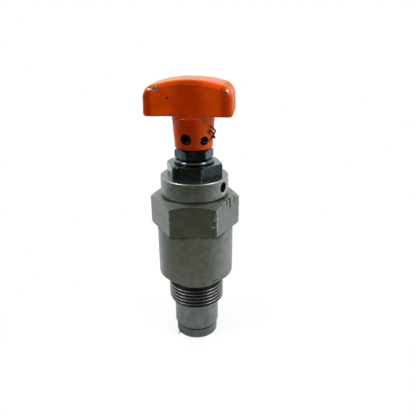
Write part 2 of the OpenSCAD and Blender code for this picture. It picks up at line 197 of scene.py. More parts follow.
def material(name, paint, **fixed):
    """A material whose shader takes what paint() returns and, the same all over, what is fixed."""
    made = bare_tree(bpy.data.materials.new(name))
    inputs = {socket.replace("_", " "): value for socket, value in fixed.items()}
    inputs.update(paint())
    shader = Shade.node("ShaderNodeBsdfPrincipled", None, inputs)
    Shade.node("ShaderNodeOutputMaterial", None, {"Surface": shader})
    return made


def seen_directly():
    """1 for rays that show the background itself: from the camera, or by way of metal or glass."""
    rays = [
        Shade.node("ShaderNodeLightPath", output=f"Is {kind} Ray")
        for kind in ("Camera", "Glossy", "Transmission")
    ]
    return rays[0].most(rays[1]).most(rays[2])


def stage_sheet(name, points, faces):
    """A sheet of the studio, which isn't part of the valve."""
    mesh = bpy.data.meshes.new(name)
    mesh.from_pydata(points, [], faces)
    sheet = stand(name, mesh)
    return sheet


def level_sheet(name, half, y_from, y_to, z):
    """A flat, level sheet of the studio, half metres wide to either side."""
    corners = [(-half, y_from, z), (half, y_from, z), (half, y_to, z), (-half, y_to, z)]
    return stage_sheet(name, corners, [(0, 1, 2, 3)])


white = (1, 1, 1)
tent_light = 0.42
bpy.context.scene.world = bare_tree(bpy.data.worlds.new("tent"))
tent_strength = tent_light + (1 - tent_light) * seen_directly()
Shade.node("ShaderNodeOutputWorld", None, {
    "Surface": Shade.node("ShaderNodeBackground", None, {"Color": white, "Strength": tent_strength}),
})

floor_half, floor_low = 1.5, -0.05 * mm
floor_near, floor_far = 0.03, 0.12
shadow_share = 0.15
floor = level_sheet("floor", floor_half, -floor_half, floor_half, floor_low)
pale = bare_tree(bpy.data.materials.new("pale_floor"))
floor_away = place().length().rise(floor_near, floor_far)
floor_white = seen_directly() * (1 - shadow_share + shadow_share * floor_away)
floor_lit = Shade.node("ShaderNodeBsdfDiffuse", None, {"Color": (0.95, 0.95, 0.95)})
floor_glow = Shade.node("ShaderNodeEmission", None, {"Color": white, "Strength": 1.0})
Shade.node("ShaderNodeOutputMaterial", None, {
    "Surface": Shade.node("ShaderNodeMixShader", None, {0: floor_white, 1: floor_lit, 2: floor_glow}),
})
floor.data.materials.append(pale)

cloth_start, cloth_end, cloth_top = 0.012, 0.5, 0.22
cloth_lift = 0.4 * mm
cloth_spread = math.radians(165)
cloth_columns = 48
cloth_points = []
for column in range(cloth_columns + 1):
    angle = -cloth_spread + 2 * cloth_spread * column / cloth_columns
    for radius, height in ((cloth_start, cloth_lift), (cloth_end, cloth_lift), (cloth_end, cloth_top)):
        cloth_points.append((radius * math.sin(angle), -radius * math.cos(angle), height))
cloth_faces = [
    (3 * c + row, 3 * c + row + 1, 3 * c + row + 4, 3 * c + row + 3)
    for c in range(cloth_columns) for row in range(2)
]
cloth = stage_sheet("dark_cloth", cloth_points, cloth_faces)
cloth.visible_camera = cloth.visible_shadow = False


def cloth_weave():
    """Greenish grey near the valve, black further out, and thinning away to both sides."""
    at = place()
    away = at.length()
    ahead = at.along((-0.34, -0.94, 0)) / away
    near = Shade.mixed((0.57, 0.57, 0.575), (0.285, 0.276, 0.205), away.rise(0.03, 0.1))
    return {
        "Base Color": Shade.mixed(near, (0.034, 0.033, 0.027), away.rise(0.13, 0.45)),
        "Roughness": 0.9 + 0.05 * at.noise(30),
        "Alpha": ahead.rise(-0.55, 0.75),
    }


cloth.data.materials.append(material("dark_cloth", cloth_weave, Specular_IOR_Level=0.0))

roof_low, roof_half, roof_front, roof_back = 0.85, 1.1, -1.4, 0.5
roof = level_sheet("dark_roof", roof_half, roof_front, roof_back, roof_low)
roof.visible_camera = roof.visible_shadow = roof.visible_diffuse = False
roof.data.materials.append(material("dark_roof", lambda: {
    "Base Color": Shade.mixed((0.05, 0.055, 0.055), (0.08, 0.085, 0.085), place().noise(5)),
    "Roughness": 0.95,
}, Specular_IOR_Level=0.0))


valve_middle = Vector((0, 0, 0.08))


def soft_lamp(name, azimuth, elevation, distance, size, watts, colour=white, seen=True):
    """A flat lamp that faces the valve's middle. Azimuth 0 is the camera's side, and 90 is +X."""
    data = bpy.data.lights.new(name, "AREA")
    data.shape = "RECTANGLE"
    data.size, data.size_y = size
    data.energy = watts
    data.color = colour
    lamp = stand(name, data)
    a, e = math.radians(azimuth), math.radians(elevation)
    away = Vector((math.sin(a) * math.cos(e), -math.cos(a) * math.cos(e), math.sin(e)))
    lamp.location = valve_middle + away * distance
    lamp.rotation_euler = away.to_track_quat("Z", "Y").to_euler()
    lamp.visible_glossy = seen


soft_lamp("left_box", -62, 36, 0.5, (0.09, 0.16), 0.95, (0.93, 0.98, 1.0))
soft_lamp("right_box", 62, 36, 0.5, (0.08, 0.16), 0.95, (0.95, 0.99, 1.0))
soft_lamp("top_box", 180, 80, 0.6, (0.5, 0.5), 2.6, seen=False)


# Body: one steel bar, turned to the sleeve, the M30x2 thread and the barrel, and left hexagonal above.
# Its grey phosphate film is cloudy, rubbed bright along the corners, and scored by spanner jaws.
# Here and below, sizes are in millimetres, and skin() turns them into metres.
sleeve_r, sleeve_low = 12.25, 6.4
thread_r, thread_root, thread_pitch = 15.0, 13.77, 2.0
thread_low, thread_top = 22.0, 33.6
thread_start, thread_lead, thread_step = 0.05, 0.15, 0.05
relief_r, shoulder_z, recess_r = 12.9, 39.5, 16.2
barrel_r, hex_z, hex_top = 19.9, 67.1, 83.6
hex_half, hex_turn, hex_round = 20.0, -1.6, 0.4
hex_low_r, hex_high_r = 22.1, 19.5
plug_r, plug_top = 10.4, 24.5
chamber_r, spigot_r, spigot_z = 9.5, 14.0, 61.5
steps_round = 256


def evenly(count=steps_round):
    return np.arange(count) * 2 * math.pi / count


def hex_angles(turn, each=36):
    """Angles round a hexagon, close together at its corners."""
    fine = np.radians([-1.6, -1.1, -0.7, -0.35, 0, 0.35, 0.7, 1.1, 1.6])
    plain = np.radians(np.linspace(2.6, 57.4, each))
    one_sixth = np.concatenate([fine, plain])
    return np.concatenate([one_sixth + math.radians(60 * k + turn) for k in range(6)])


def hex_radii(angles, half, turn, roundness):
    """The radius of a hexagon with rounded corners at each angle."""
    from_corner = np.mod(angles - math.radians(turn) + math.pi / 6, math.pi / 3) - math.pi / 6
    flat = half / np.cos(math.pi / 6 - np.abs(from_corner))
    centre = (half - roundness) / math.cos(math.pi / 6)
    aside = centre * np.sin(from_corner)
    reach = np.sqrt(np.maximum(roundness ** 2 - aside ** 2, 0))
    arc = centre * np.cos(from_corner) + reach
    return np.where(np.abs(aside) < roundness * math.sin(math.pi / 6), arc, flat)


def ring(angles, r, z, slot=0):
    """A ring of points and its material slot. The radius and height may have one value for each angle."""
    points = np.column_stack([r * np.cos(angles), r * np.sin(angles), z + 0 * angles])
    return points, slot


def softened(outline, radius, arc_steps=3):
    """A turned outline of (r, z) or (r, z, slot) corners, each but the two end ones rounded."""
    out = []
    corners = [tuple(c) + (0,) * (3 - len(c)) for c in outline]
    for i, (r, z, slot) in enumerate(corners):
        if i in (0, len(corners) - 1):
            out.append((r, z, slot))
            continue
        here = Vector((r, z))
        back = Vector(corners[i - 1][:2]) - here
        on = Vector(corners[i + 1][:2]) - here
        reach = min(radius, back.length / 2.2, on.length / 2.2)
        start, end = here + back.normalized() * reach, here + on.normalized() * reach
        for k in range(arc_steps + 1):
            t = k / arc_steps
            point = (1 - t) ** 2 * start + 2 * t * (1 - t) * here + t ** 2 * end
            out.append((point.x, point.y, slot if k == arc_steps else corners[i - 1][2]))
    return out


def turned(angles, outline, radius=0.12):
    """The rings of a turned stretch. Its first and last corners stay sharp."""
    return [ring(angles, *corner) for corner in softened(outline, radius)]


def hex_bar(angles, half, turn, roundness, z0, z1, low_r, high_r, flat_slot=0):
    """The outside of a hexagon bar, with 30 degree cones outside low_r below and high_r above."""
    soft = 0.1
    slope = math.tan(math.pi / 6)
    r = hex_radii(angles, half, turn, roundness)

    def low(inset):
        return z0 + np.maximum(r - inset - low_r, 0) * slope

    def high(inset):
        return z1 - np.maximum(r - inset - high_r, 0) * slope

    outline = [
        (np.minimum(r - 2 * soft, low_r), z0), (r - soft, low(soft)), (r - 0.3 * soft, low(0) + 0.25 * soft),
        (r, low(0) + soft), (r, high(0) - soft), (r - 0.3 * soft, high(0) - 0.25 * soft),
        (r - soft, high(soft)),
        (np.minimum(r - 2 * soft, high_r + 0.5 * soft), z1 - 0.2 * soft),
        (np.minimum(r - 3 * soft, high_r - 2 * soft), z1),
    ]
    slots = [0, 0, 0, flat_slot, 0, 0, 0, 0, 0]
    return [ring(angles, *spot, slot) for spot, slot in zip(outline, slots)]


def threads(angles, crest, root, pitch, z0, z1, phase, lead, step, slot):
    """The rings and the normals of a right-hand thread whose crests run out in a cone at both ends.

    Its crests are round and its roots are flat. The normals are those of a slightly smoother thread.
    Phase is the share of a turn by which it is turned, and lead is how far under the root the cones start.
    """
    root_flat, straight, cone_slope = 0.1, 0.2, 1.45
    reach, turn_reach = 0.04 * pitch, 0.01

    def radius(angles, z):
        turn = np.mod((z - z0) / pitch - angles / (2 * math.pi) + phase, 1.0)
        flank = 2 * np.minimum(turn, 1 - turn)
        share = np.clip((flank - root_flat) / (1 - root_flat), 0, 1)
        share = straight * share + (1 - straight) * share ** 2 * (3 - 2 * share)
        cone = root - lead + min(z - z0, z1 - z) * cone_slope
        return np.minimum(root + (crest - root) * share, np.maximum(cone, root - lead))

    rings, normals = [], []
    count = round((z1 - z0) / step)
    out = np.column_stack([np.cos(angles), np.sin(angles), 0 * angles])
    round_axis = np.column_stack([-np.sin(angles), np.cos(angles), 0 * angles])
    for z in np.linspace(z0, z1, count + 1):
        r = radius(angles, z)
        rings.append(ring(angles, r, z, slot))
        rise = (radius(angles, z + reach) - radius(angles, z - reach)) / (2 * reach)
        growth = (radius(angles + turn_reach, z) - radius(angles - turn_reach, z)) / (2 * turn_reach * r)
        normal = out - growth[:, None] * round_axis - rise[:, None] * np.array([0, 0, 1])
        normals.append(normal / np.linalg.norm(normal, axis=1)[:, None])
    return rings, normals


def skin(name, rings, closed=True):
    """A mesh over rings of points. Closed joins the last ring to the first, as round a bore."""
    count = len(rings[0][0])
    points = np.concatenate([r for r, _ in rings])
    faces, slots = [], []
    for i in range(len(rings) if closed else len(rings) - 1):
        here, there = i * count, (i + 1) % len(rings) * count
        for k in range(count):
            after = (k + 1) % count
            faces.append((here + k, here + after, there + after, there + k))
            slots.append(rings[i][1])
    if not closed:
        faces.append(tuple(range(count - 1, -1, -1)))
        faces.append(tuple(range(len(points) - count, len(points))))
        slots += [rings[0][1], rings[-1][1]]
    mesh = bpy.data.meshes.new(name)
    mesh.from_pydata((points * mm).tolist(), [], faces)
    mesh.polygons.foreach_set("material_index", slots)
    mesh.polygons.foreach_set("use_smooth", [True] * len(faces))
    return mesh


def piece_from(name, shape, materials, body, slot, *nodes, closed=True):
    """Puts a mesh, or rings to skin, in the scene as a piece on a body that stands for CAD nodes."""
    mesh = skin(name, shape, closed) if isinstance(shape, list) else shape
    for one in materials:
        mesh.materials.append(one)
    mesh.update()
    piece = stand(name, mesh)
    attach(piece, body)
    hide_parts(*nodes)
    return piece


def shaded(piece, first_ring, normals):
    """Keeps broad faces flat in the shading, and gives the rings of a thread their own normals."""
    mesh = piece.data
    faces = len(mesh.polygons)
    areas, directions = np.zeros(faces), np.zeros(3 * faces)
    sides, corners = np.zeros(faces, int), np.zeros(len(mesh.loops), int)
    mesh.polygons.foreach_get("area", areas)
    mesh.polygons.foreach_get("normal", directions)
    mesh.polygons.foreach_get("loop_total", sides)
    mesh.loops.foreach_get("vertex_index", corners)
    total = np.zeros((len(mesh.vertices), 3))
    np.add.at(total, corners, np.repeat(directions.reshape(-1, 3) * areas[:, None], sides, axis=0))
    own = np.concatenate(normals)
    start = first_ring * len(normals[0])
    total[start:start + len(own)] = own
    total /= np.maximum(np.linalg.norm(total, axis=1), 1e-12)[:, None]
    mesh.normals_split_custom_set_from_vertices(total.tolist())


def crisp(piece):
    """Keeps broad faces flat in the shading, next to their small rounded edges."""
    piece.modifiers.new("flat_faces", "WEIGHTED_NORMAL").keep_sharp = True


def tool_lines(at, fineness):
    """The fine lines that a cutting tool leaves round the axis, on cylinders and on end faces."""
    wander = 0.4 * at.noise(60, 1.0)
    return Shade.node("ShaderNodeCombineXYZ", None, {
        0: at.r * fineness + wander, 1: at.z * fineness, 2: at.along((30, 30, 0)),
    })


def metal(name, paint):
    return material(name, paint, Metallic=1.0)


def bump(height, depth):
    """A normal from a height between 0 and 1, whose full relief is depth millimetres."""
    return Shade.node("ShaderNodeBump", None, {"Distance": depth * mm, "Height": height})


def surface(colour, rough, height, depth):
    """The shader inputs of a plain surface."""
    return {"Base Color": colour, "Roughness": rough, "Normal": bump(height, depth)}


def steel(name, dark, light, film, marks=None, fineness=5200, relief=0.007):
    """Turned steel: fine tool lines, a cloudy film, dark specks and a few bright scratches."""

    def paint():
        at = place()
        lines = tool_lines(at, fineness)
        fine = lines.noise(1.0, 3.0, 0.65)
        broad = lines.noise(0.22, 1.0)
        cloud = at.noise(150, 5.0, 0.62, 0.6)
        blotch = at.scaled(1, 1, 0.6).noise(420, 3.0, 0.6)
        speck = at.noise(3100, 2.0).rise(0.66, 0.74)
        scratch = at.scaled(900, 900, 260).noise(1.0, 2.0, 0.6, 1.6).rise(0.7, 0.75)
        tone = 0.45 * cloud + 0.25 * blotch + 0.2 * fine + 0.1 * broad
        colour = Shade.mixed(dark, light, tone.rise(0.36, 0.64))
        colour = colour.mix((0.05, 0.05, 0.045), 0.5 * speck)
        colour = colour.mix((0.55, 0.57, 0.57), 0.14 * scratch)
        rough = film + 0.22 * (cloud - 0.5) + 0.1 * (fine - 0.5) + 0.1 * speck - 0.08 * scratch
        height = 0.5 * fine + 0.25 * broad + 0.15 * blotch - 0.2 * speck - 0.15 * scratch
        if marks:
            colour, rough, height = marks(at, colour, rough, height)
        return surface(colour, rough, height, relief)

    return metal(name, paint)


def near_spot(at, centre, radii):
    """How many radii a point is away from a spot given in millimetres."""
    shifted = at.vector("SUBTRACT", [c * mm for c in centre])
    return shifted.vector("DIVIDE", [r * mm for r in radii]).length()


def at_angle(at, degrees):
    """How far a point is aside of the half-plane at an angle from the front, and how far out along it."""
    a = math.radians(degrees)
    return at.along((math.cos(a), math.sin(a), 0)), at.along((math.sin(a), -math.cos(a), 0))


# The first black darkens real scores and nicks, and also paints the shadow under the hexagon.
# The second darkens dirt and nicks, and also paints shade in the thread's roots, the nose's groove and the
# cap.
grime_and_shade_black, dirt_and_shade_black, bright_steel = (0.03, 0.03, 0.026), (0.02, 0.02, 0.018), (0.62, 0.63, 0.6)
jaw_cuts = ((-6.4, 0.35, 80.6), (-3.9, 0.2, 80.9), (-1.6, 0.8, 79.4), (1.4, 1.0, 77.4), (6.3, 0.75, 78.8))
jaw_cut_end, jaw_lean = 1.3, 0.12
edge_nicks = ((31, 1.9, 41.1), (44, 0.8, 42.0), (12, 0.7, 40.6))


def jaw_scores(at):
    """The dark scores of spanner jaws in the top of the right-hand flat, and their bright burrs."""
    across, out = at_angle(at, 60 + hex_turn)
    wander = (at.noise(600, 2.0) - 0.5) * (0.9 * mm) + jaw_lean * (at.z - 80 * mm)
    scores, burrs = 0.0, 0.0
    for centre, width, lowest in jaw_cuts:
        aside = across - centre * mm + wander
        deep = at.z.over(lowest, lowest + jaw_cut_end)
        scores = abs(aside).over(width, width * 0.6) * deep + scores
        burrs = abs(aside + (width + 0.3) * mm).over(0.35, 0.1) * deep + burrs
    facing = out.over(hex_half - 1.4, hex_half - 0.9)
    return scores * facing, burrs * facing


def flat_marks(at, colour, rough, height):
    """Jaw scores and scuffs on the right-hand flat, worn corners, and fresh nicks beside one corner."""
    scores, burrs = jaw_scores(at)
    on_right = at_angle(at, 60 + hex_turn)[1].over(hex_half - 1, hex_half - 0.5)
    on_front = at_angle(at, hex_turn)[1].over(hex_half - 0.8, hex_half - 0.3)
    scuffed = at.z.over(78, 82) * on_right * at.scaled(1, 1, 0.4).noise(900, 3.0).rise(0.5, 0.62)
    worn = at.r.over(22.5, 22.85) * (0.35 + 0.65 * at.x.over(8, 11)) * at.noise(420, 2.0).rise(0.3, 0.6)
    # Painted shade: the front flat is darkened in patches, though the mask is named stain.
    stain = on_front * (0.6 + 0.4 * at.noise(130, 2.0).rise(0.3, 0.6))
    ragged = at.noise(1800, 3.0)
    nick = (near_spot(at, (9.7, -20.29, 76.3), (0.7, 1, 1.1)) + ragged).rise(1.3, 1.0)
    nick = (near_spot(at, (9.2, -20.28, 72.7), (1.0, 1, 0.5)) + ragged).rise(1.4, 1.1).most(nick)
    pits = (near_spot(at, (9.7, -20.28, 75), (1.3, 1, 2.6)) + 2 * ragged).rise(1.6, 1.4)
    colour = colour.mix((0.08, 0.084, 0.058), 0.4 * stain)
    colour = colour.mix(grime_and_shade_black, (0.95 * scores).most(0.3 * scuffed).most(0.45 * pits))
    colour = colour.mix(bright_steel, (0.65 * worn).most(0.45 * burrs))
    colour = colour.mix((0.75, 0.74, 0.6), 0.9 * nick)
    rough = rough + 0.2 * scores + 0.1 * scuffed - 0.06 * worn
    return colour, rough, height - 1.4 * scores + 0.5 * burrs - 0.5 * worn - 0.5 * nick


def turned_marks(at, colour, rough, height):
    """Painted shade under the hexagon, painted light on top, jaw scores in its chamfer, low barrel nicks."""
    scores, burrs = jaw_scores(at)
    z, folded = at.z, at.vector("ABSOLUTE")
    # Painted shadow: a dark band on the barrel under the hexagon, deepest where it overhangs as seen from the
    # front.
    under_front = hex_half * mm - folded.along((0, 1, 0))
    under_side = 2 * (hex_half * mm - folded.along((math.sin(math.pi / 3), 0.5, 0)))
    overhang = Shade.maths("MINIMUM", under_front, under_side)
    painted_hex_shadow = (z + 0.53 * overhang).over(hex_z - 1.1, hex_z - 0.4) * z.over(hex_z + 0.3, hex_z + 0.1)
    painted_hex_shadow = painted_hex_shadow * (0.25 + 0.75 * overhang.over(0.2, 0.9)) * (0.5 + 0.5 * at.noise(300, 3.0).rise(0.35, 0.6))
    # Painted light: the upward top of the hexagon is paler, as if lit from above.
    top = z.over(80.8, 81.2) * at.r.over(16.5, 16.8)
    rim = abs(at.r - 17.0 * mm).over(0.5, 0.1) * z.over(hex_top - 0.4, hex_top - 0.2)
    cut = 0.0
    for degrees, half, level in edge_nicks:
        aside, out = at_angle(at, degrees)
        low = z - level * mm - 0.16 * aside
        cut = abs(aside).over(half, 0.7 * half) * abs(low).over(0.38, 0.16) * out.over(0, 1) + cut
    pop = near_spot(at, (0.6, -12.25, 8.5), (0.55, 1, 0.75)).rise(1.1, 0.6)
    colour = colour.mix((0.4, 0.42, 0.38), (0.55 * top).most(0.7 * rim))
    dark = (0.95 * scores).most(0.75 * painted_hex_shadow).most(0.85 * cut).most(0.45 * pop)
    colour = colour.mix(grime_and_shade_black, dark).mix(bright_steel, 0.45 * burrs)
    return colour, rough + 0.2 * dark + 0.12 * top, height - 1.4 * scores + 0.5 * burrs - cut - pop


def thread_marks(at, colour, rough, height):
    """Crests rubbed bright, old oil and muck in the roots with painted shade, and painted shade down the
    front.
    """
    crest = at.r.over(thread_r - 0.55, thread_r - 0.05)
    # The dark roots are partly old muck and partly painted shade between the crests.
    root = at.r.over(thread_r - 0.4, thread_r - 0.9) * at.z.over(thread_low - 0.1, thread_low + 0.2)
    # Painted shade: the front of the thread is darkened.
    painted_front_shade = at.front.over(11.8, 14.2)
    colour = colour.mix((0.52, 0.53, 0.5), 0.75 * crest).mix((0.07, 0.068, 0.06), 0.6 * painted_front_shade)
    return colour.mix(dirt_and_shade_black, 0.92 * root), rough + 0.15 * root, height


body_turned = steel("body_turned", (0.163, 0.18, 0.165), (0.26, 0.285, 0.27), 0.36, turned_marks)
body_thread = steel("body_thread", (0.12, 0.13, 0.12), (0.15, 0.16, 0.15), 0.4, thread_marks, 5200, 0.0005)
body_flats = steel("body_flats", (0.152, 0.177, 0.157), (0.212, 0.246, 0.223), 0.33, flat_marks, 2600, 0.005)

body_angles = hex_angles(hex_turn)
body_rings = turned(body_angles, [
    (plug_r, sleeve_low), (sleeve_r - 0.5, sleeve_low), (sleeve_r, sleeve_low + 0.5),
    (sleeve_r, thread_low - 0.1), (sleeve_r + 0.2, thread_low),
])
below_thread = len(body_rings)
thread_rings, thread_normals = threads(
    body_angles, thread_r, thread_root, thread_pitch, thread_low, thread_top,
    thread_start, thread_lead, thread_step, 1
)
body_rings += thread_rings
body_rings += turned(body_angles, [
    (thread_root - 0.2, thread_top, 0), (relief_r, thread_top + 0.3), (relief_r, shoulder_z + 0.3),
    (recess_r, shoulder_z + 0.3), (recess_r, shoulder_z), (barrel_r - 0.45, shoulder_z),
    (barrel_r, shoulder_z + 0.45), (barrel_r, hex_z - 0.3), (barrel_r - 0.1, hex_z),
])
body_rings += hex_bar(body_angles, hex_half, hex_turn, hex_round, hex_z, hex_top, hex_low_r, hex_high_r, 2)
body_rings += turned(body_angles, [
    (spigot_r + 0.3, hex_top), (spigot_r, hex_top - 0.3), (spigot_r, spigot_z), (chamber_r, spigot_z),
    (chamber_r, plug_top), (plug_r, plug_top), (plug_r, sleeve_low + 0.1),
])
body = piece_from(
    "body", body_rings, [body_turned, body_thread, body_flats], "valve_body", "body_steel", "body_shell"
)
shaded(body, below_thread, thread_normals)


# Nose: a turned steel plug with the valve seat, pressed into the sleeve up to its shoulder.
# Six drilled holes in its end face return the oil, and an O-ring keeps them apart from the inlet.
nose_r, nose_h, groove_r, groove_z = 11.5, 5.3, 11.1, 5.8
inlet_r, seat_z, insert_top, rim_top = 3.5, 12.5, 14.5, 18.5
face_groove_in, face_groove_out, face_groove_deep = 4.15, 5.75, 1.35
return_holes, return_r, return_at = 6, 1.5, 7.9
burr_at = -57


def drilled(piece, *drills):
    """Cuts drills out of a piece, and puts the result in its mesh."""
    for drill in drills:
        cut = piece.modifiers.new("drill", "BOOLEAN")
        cut.operation = "DIFFERENCE"
        cut.solver = "EXACT"
        cut.object = drill
        bpy.context.view_layer.update()
        made = bpy.data.meshes.new_from_object(piece.evaluated_get(bpy.context.evaluated_depsgraph_get()))
        piece.modifiers.clear()
        piece.data = made
        bpy.data.objects.remove(drill)


def drill(profile, move, sides):
    """A cutter turned from (r, z) corners, moved into place by a matrix."""
    mesh = skin("drill", [ring(evenly(sides), r, z) for r, z in profile], closed=False)
    mesh.transform(move)
    return stand("drill", mesh)


def nose_marks(at, colour, rough, height):
    """A nick in the lower edge, and painted shade in the groove, strongest at the front."""
    aside, out = at_angle(at, burr_at)
    nick = abs(aside).over(0.55, 0.15) * at.z.over(1.3, 0.5) * out.over(5, 8)
    # Painted shade in the groove, fading towards the sides.
    recess_shade = abs(at.z - groove_z * mm).over(0.8, 0.4) * (0.3 + 0.7 * at.front.over(5, 8.5))
    colour = colour.mix(dirt_and_shade_black, (0.85 * nick).most(0.55 * recess_shade))
    return colour, rough + 0.2 * nick + 0.2 * recess_shade, height - 0.8 * nick


nose_steel = steel("nose_steel", (0.15, 0.163, 0.165), (0.22, 0.24, 0.242), 0.34, nose_marks)
nose_rings = turned(evenly(), [
    (inlet_r, 0.2), (inlet_r + 0.2, 0), (face_groove_in, 0), (face_groove_in, face_groove_deep),
    (face_groove_out, face_groove_deep), (face_groove_out, 0), (nose_r - 0.25, 0), (nose_r, 0.25),
    (nose_r, nose_h), (groove_r, nose_h), (groove_r, sleeve_low - 0.01), (plug_r - 0.01, sleeve_low),
    (plug_r - 0.01, rim_top), (chamber_r, rim_top), (chamber_r, insert_top),
    (inlet_r + 2, insert_top), (inlet_r, seat_z), (inlet_r, 0.3),
], 0.1)
nose = piece_from("nose", nose_rings, [nose_steel], "valve_body", "nose_steel", "seat_insert")
return_profile = [(return_r + 0.35, -0.1), (return_r, 0.25), (return_r, insert_top + 1)]
return_moves = [
    Matrix.Rotation(math.radians(360 / return_holes * (k + 0.5)), 4, "Z")
    @ Matrix.Translation((return_at * mm, 0, 0))
    for k in range(return_holes)
]
drilled(nose, *[drill(return_profile, move, 32) for move in return_moves])
crisp(nose)

burr_along = [(10.9, 1.5, 0.35), (11.7, 1.3, 0.5), (12.3, 0.8, 0.4), (12.8, 0.35, 0.2), (13.0, 0.2, 0.06)]
burr_root, burr_bend, burr_low, burr_sides = 11, 2.5, 0.05, 10
burr_rings = []
for out, z, r in burr_along:
    a = evenly(burr_sides)[:, None]
    bent = math.radians(burr_at + (out - burr_root) * burr_bend)
    middle = np.array([out * math.sin(bent), -out * math.cos(bent), z])
    aside = np.array([math.cos(bent), math.sin(bent), 0])
    lift = np.array([0, 0, 1])
    edge = middle + r * (1.5 * np.cos(a) * aside + (0.5 + 0.2 * np.cos(3 * a)) * np.sin(a) * lift)
    edge[:, 2] = np.maximum(edge[:, 2], burr_low)
    burr_rings.append((edge, 0))
piece_from("burr", burr_rings, [nose_steel], "valve_body", "nose_steel", closed=False)


def rubber():
    """Oily nitrile rubber with a fine moulded grain and a few dusty patches."""
    at = place()
    grain = at.noise(5200, 3.0)
    dust = at.noise(420, 4.0, 0.6).rise(0.52, 0.75)
    colour = Shade.mixed((0.012, 0.012, 0.012), (0.05, 0.048, 0.043), 0.5 * dust)
    return surface(colour, 0.34 + 0.25 * dust + 0.1 * grain, grain, 0.01)


seal_rubber = material("seal_rubber", rubber)


def dress(finish, *names):
    """Gives CAD nodes a finish in all their material slots."""
    for name in names:
        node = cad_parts[name]
        if not node.material_slots:
            node.data.materials.append(finish)
        for slot in node.material_slots:
            slot.material = finish


dress(seal_rubber, "nose_seal", "shoulder_o_ring")


# Guide bush and poppet: a bored bronze bush in the sleeve, and the hardened, ground poppet in it.
# A disc on the poppet's stem, kept by a snap ring, takes the spring's push.
def ground(name, base, light, film):
    """Hardened steel, ground round the axis, with faint brown oil stains."""

    def paint():
        at = place()
        fine = tool_lines(at, 14000).noise(1.0, 2.0, 0.6)
        stain = at.noise(260, 4.0, 0.6, 0.5).rise(0.5, 0.72)
        colour = Shade.mixed(base, light, fine.rise(0.3, 0.7)).mix((0.3, 0.22, 0.12), 0.25 * stain)
        return surface(colour, film + 0.08 * fine + 0.12 * stain, fine, 0.002)

    return metal(name, paint)


ground_steel = ground("ground_steel", (0.5, 0.51, 0.53), (0.64, 0.65, 0.67), 0.14)
bush_bronze = steel("bush_bronze", (0.42, 0.27, 0.09), (0.62, 0.44, 0.18), 0.24)
dress(ground_steel, "poppet")
dress(bush_bronze, "guide_bush")


# Main spring: coiled from oil-tempered wire, so it is dark blue-grey with drawing lines along the wire.
# It pushes the poppet's disc down, under a washer that sets its preload.
coil_r, coil_wire_r, coil_turns, coil_low, coil_top = 6.7, 1.4, 7.5, 29.72, 63.9
closed_lead, poppet_lift = 2.86, 1.5
coil_gap, coil_steps, coil_sides = 0.01, 360, 16


def tempered():
    """Dark tempered wire: a blue-grey scale, rubbed lighter in patches."""
    at = place()
    scale = at.noise(900, 4.0, 0.6, 0.4)
    rubbed = at.noise(300, 3.0).rise(0.5, 0.68)
    colour = Shade.mixed((0.05, 0.055, 0.07), (0.14, 0.15, 0.17), scale.rise(0.3, 0.7))
    colour = colour.mix((0.3, 0.3, 0.3), 0.35 * rubbed)
    return surface(colour, 0.3 + 0.2 * scale - 0.06 * rubbed, scale, 0.006)


def tube(middles, across, up, radius, sides):
    """The rings of a round wire: its middle points, and two directions across it at each."""
    a = evenly(sides)[:, None]
    return [
        (middle + radius * (np.cos(a) * one + np.sin(a) * other), 0)
        for middle, one, other in zip(middles, across, up)
    ]


spring_steel = metal("spring_steel", tempered)
coil_turn = np.linspace(0, coil_turns, coil_steps + 1)
coil_climb = coil_top - coil_low - 2 * coil_wire_r
coil_leads = ([0, 1, coil_turns - 1, coil_turns], [0, closed_lead, coil_climb - closed_lead, coil_climb])
coil_out = np.column_stack([np.cos(math.tau * coil_turn), np.sin(math.tau * coil_turn), 0 * coil_turn])
coil_middle = coil_r * coil_out
coil_middle[:, 2] = coil_low + coil_wire_r + np.interp(coil_turn, *coil_leads)
coil_on = np.gradient(coil_middle, axis=0)
coil_on /= np.linalg.norm(coil_on, axis=1)[:, None]
coil_up = np.cross(coil_on, coil_out)
coil_rings = tube(coil_middle, coil_out, coil_up, coil_wire_r - coil_gap, coil_sides)
coil = piece_from(
    "coil_spring", coil_rings, [spring_steel], "poppet_body", "spring_steel", "main_spring", closed=False
)
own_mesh(coil)
inner_steel = steel("inner_steel", (0.34, 0.35, 0.36), (0.5, 0.51, 0.52), 0.26)
dress(spring_steel, "seat_clip")
dress(inner_steel, "spring_seat", "spring_shim")


# Piston: a turned steel plate on the spring, sealed by an O-ring with a white backup ring above it.
# The spindle pushes it down through a hardened ball, so that it doesn't turn with the knob.
def backup():
    """White fluoropolymer: waxy, cut from rod, with faint knife lines and oil in its low spots."""
    at = place()
    lines = tool_lines(at, 6000).noise(1.0, 2.0)
    oil = at.noise(500, 3.0).rise(0.5, 0.75)
    colour = Shade.mixed((0.78, 0.76, 0.7), (0.6, 0.54, 0.42), 0.45 * oil)
    return surface(colour, 0.42 + 0.12 * lines, lines, 0.006)


dress(inner_steel, "spring_plate")
dress(ground_steel, "thrust_ball")
dress(seal_rubber, "plate_o_ring", "cap_o_ring", "bonnet_seal")
dress(material("backup_plastic", backup), "backup_ring")


# Cap: a turned steel collar screwed into the body, with one blind hole for a pin wrench.
# Its top edge is rounded and polished by handling, and a low neck parts it from the hexagon.
neck_r, cap_r, cap_low, cap_top, cap_round = 16.6, 17.3, 84.15, 93.7, 0.75
shank_r, shank_low = 10.0, 85.14
fit, entry = 0.02, 0.6
piston_bore = 8.5
cap_groove_r, cap_groove_low, cap_groove_top = 12.3, 63.5, 65.7
pin_hole_r, pin_hole_depth, pin_hole_z, pin_hole_angle = 2.45, 5.5, 89.4, 57


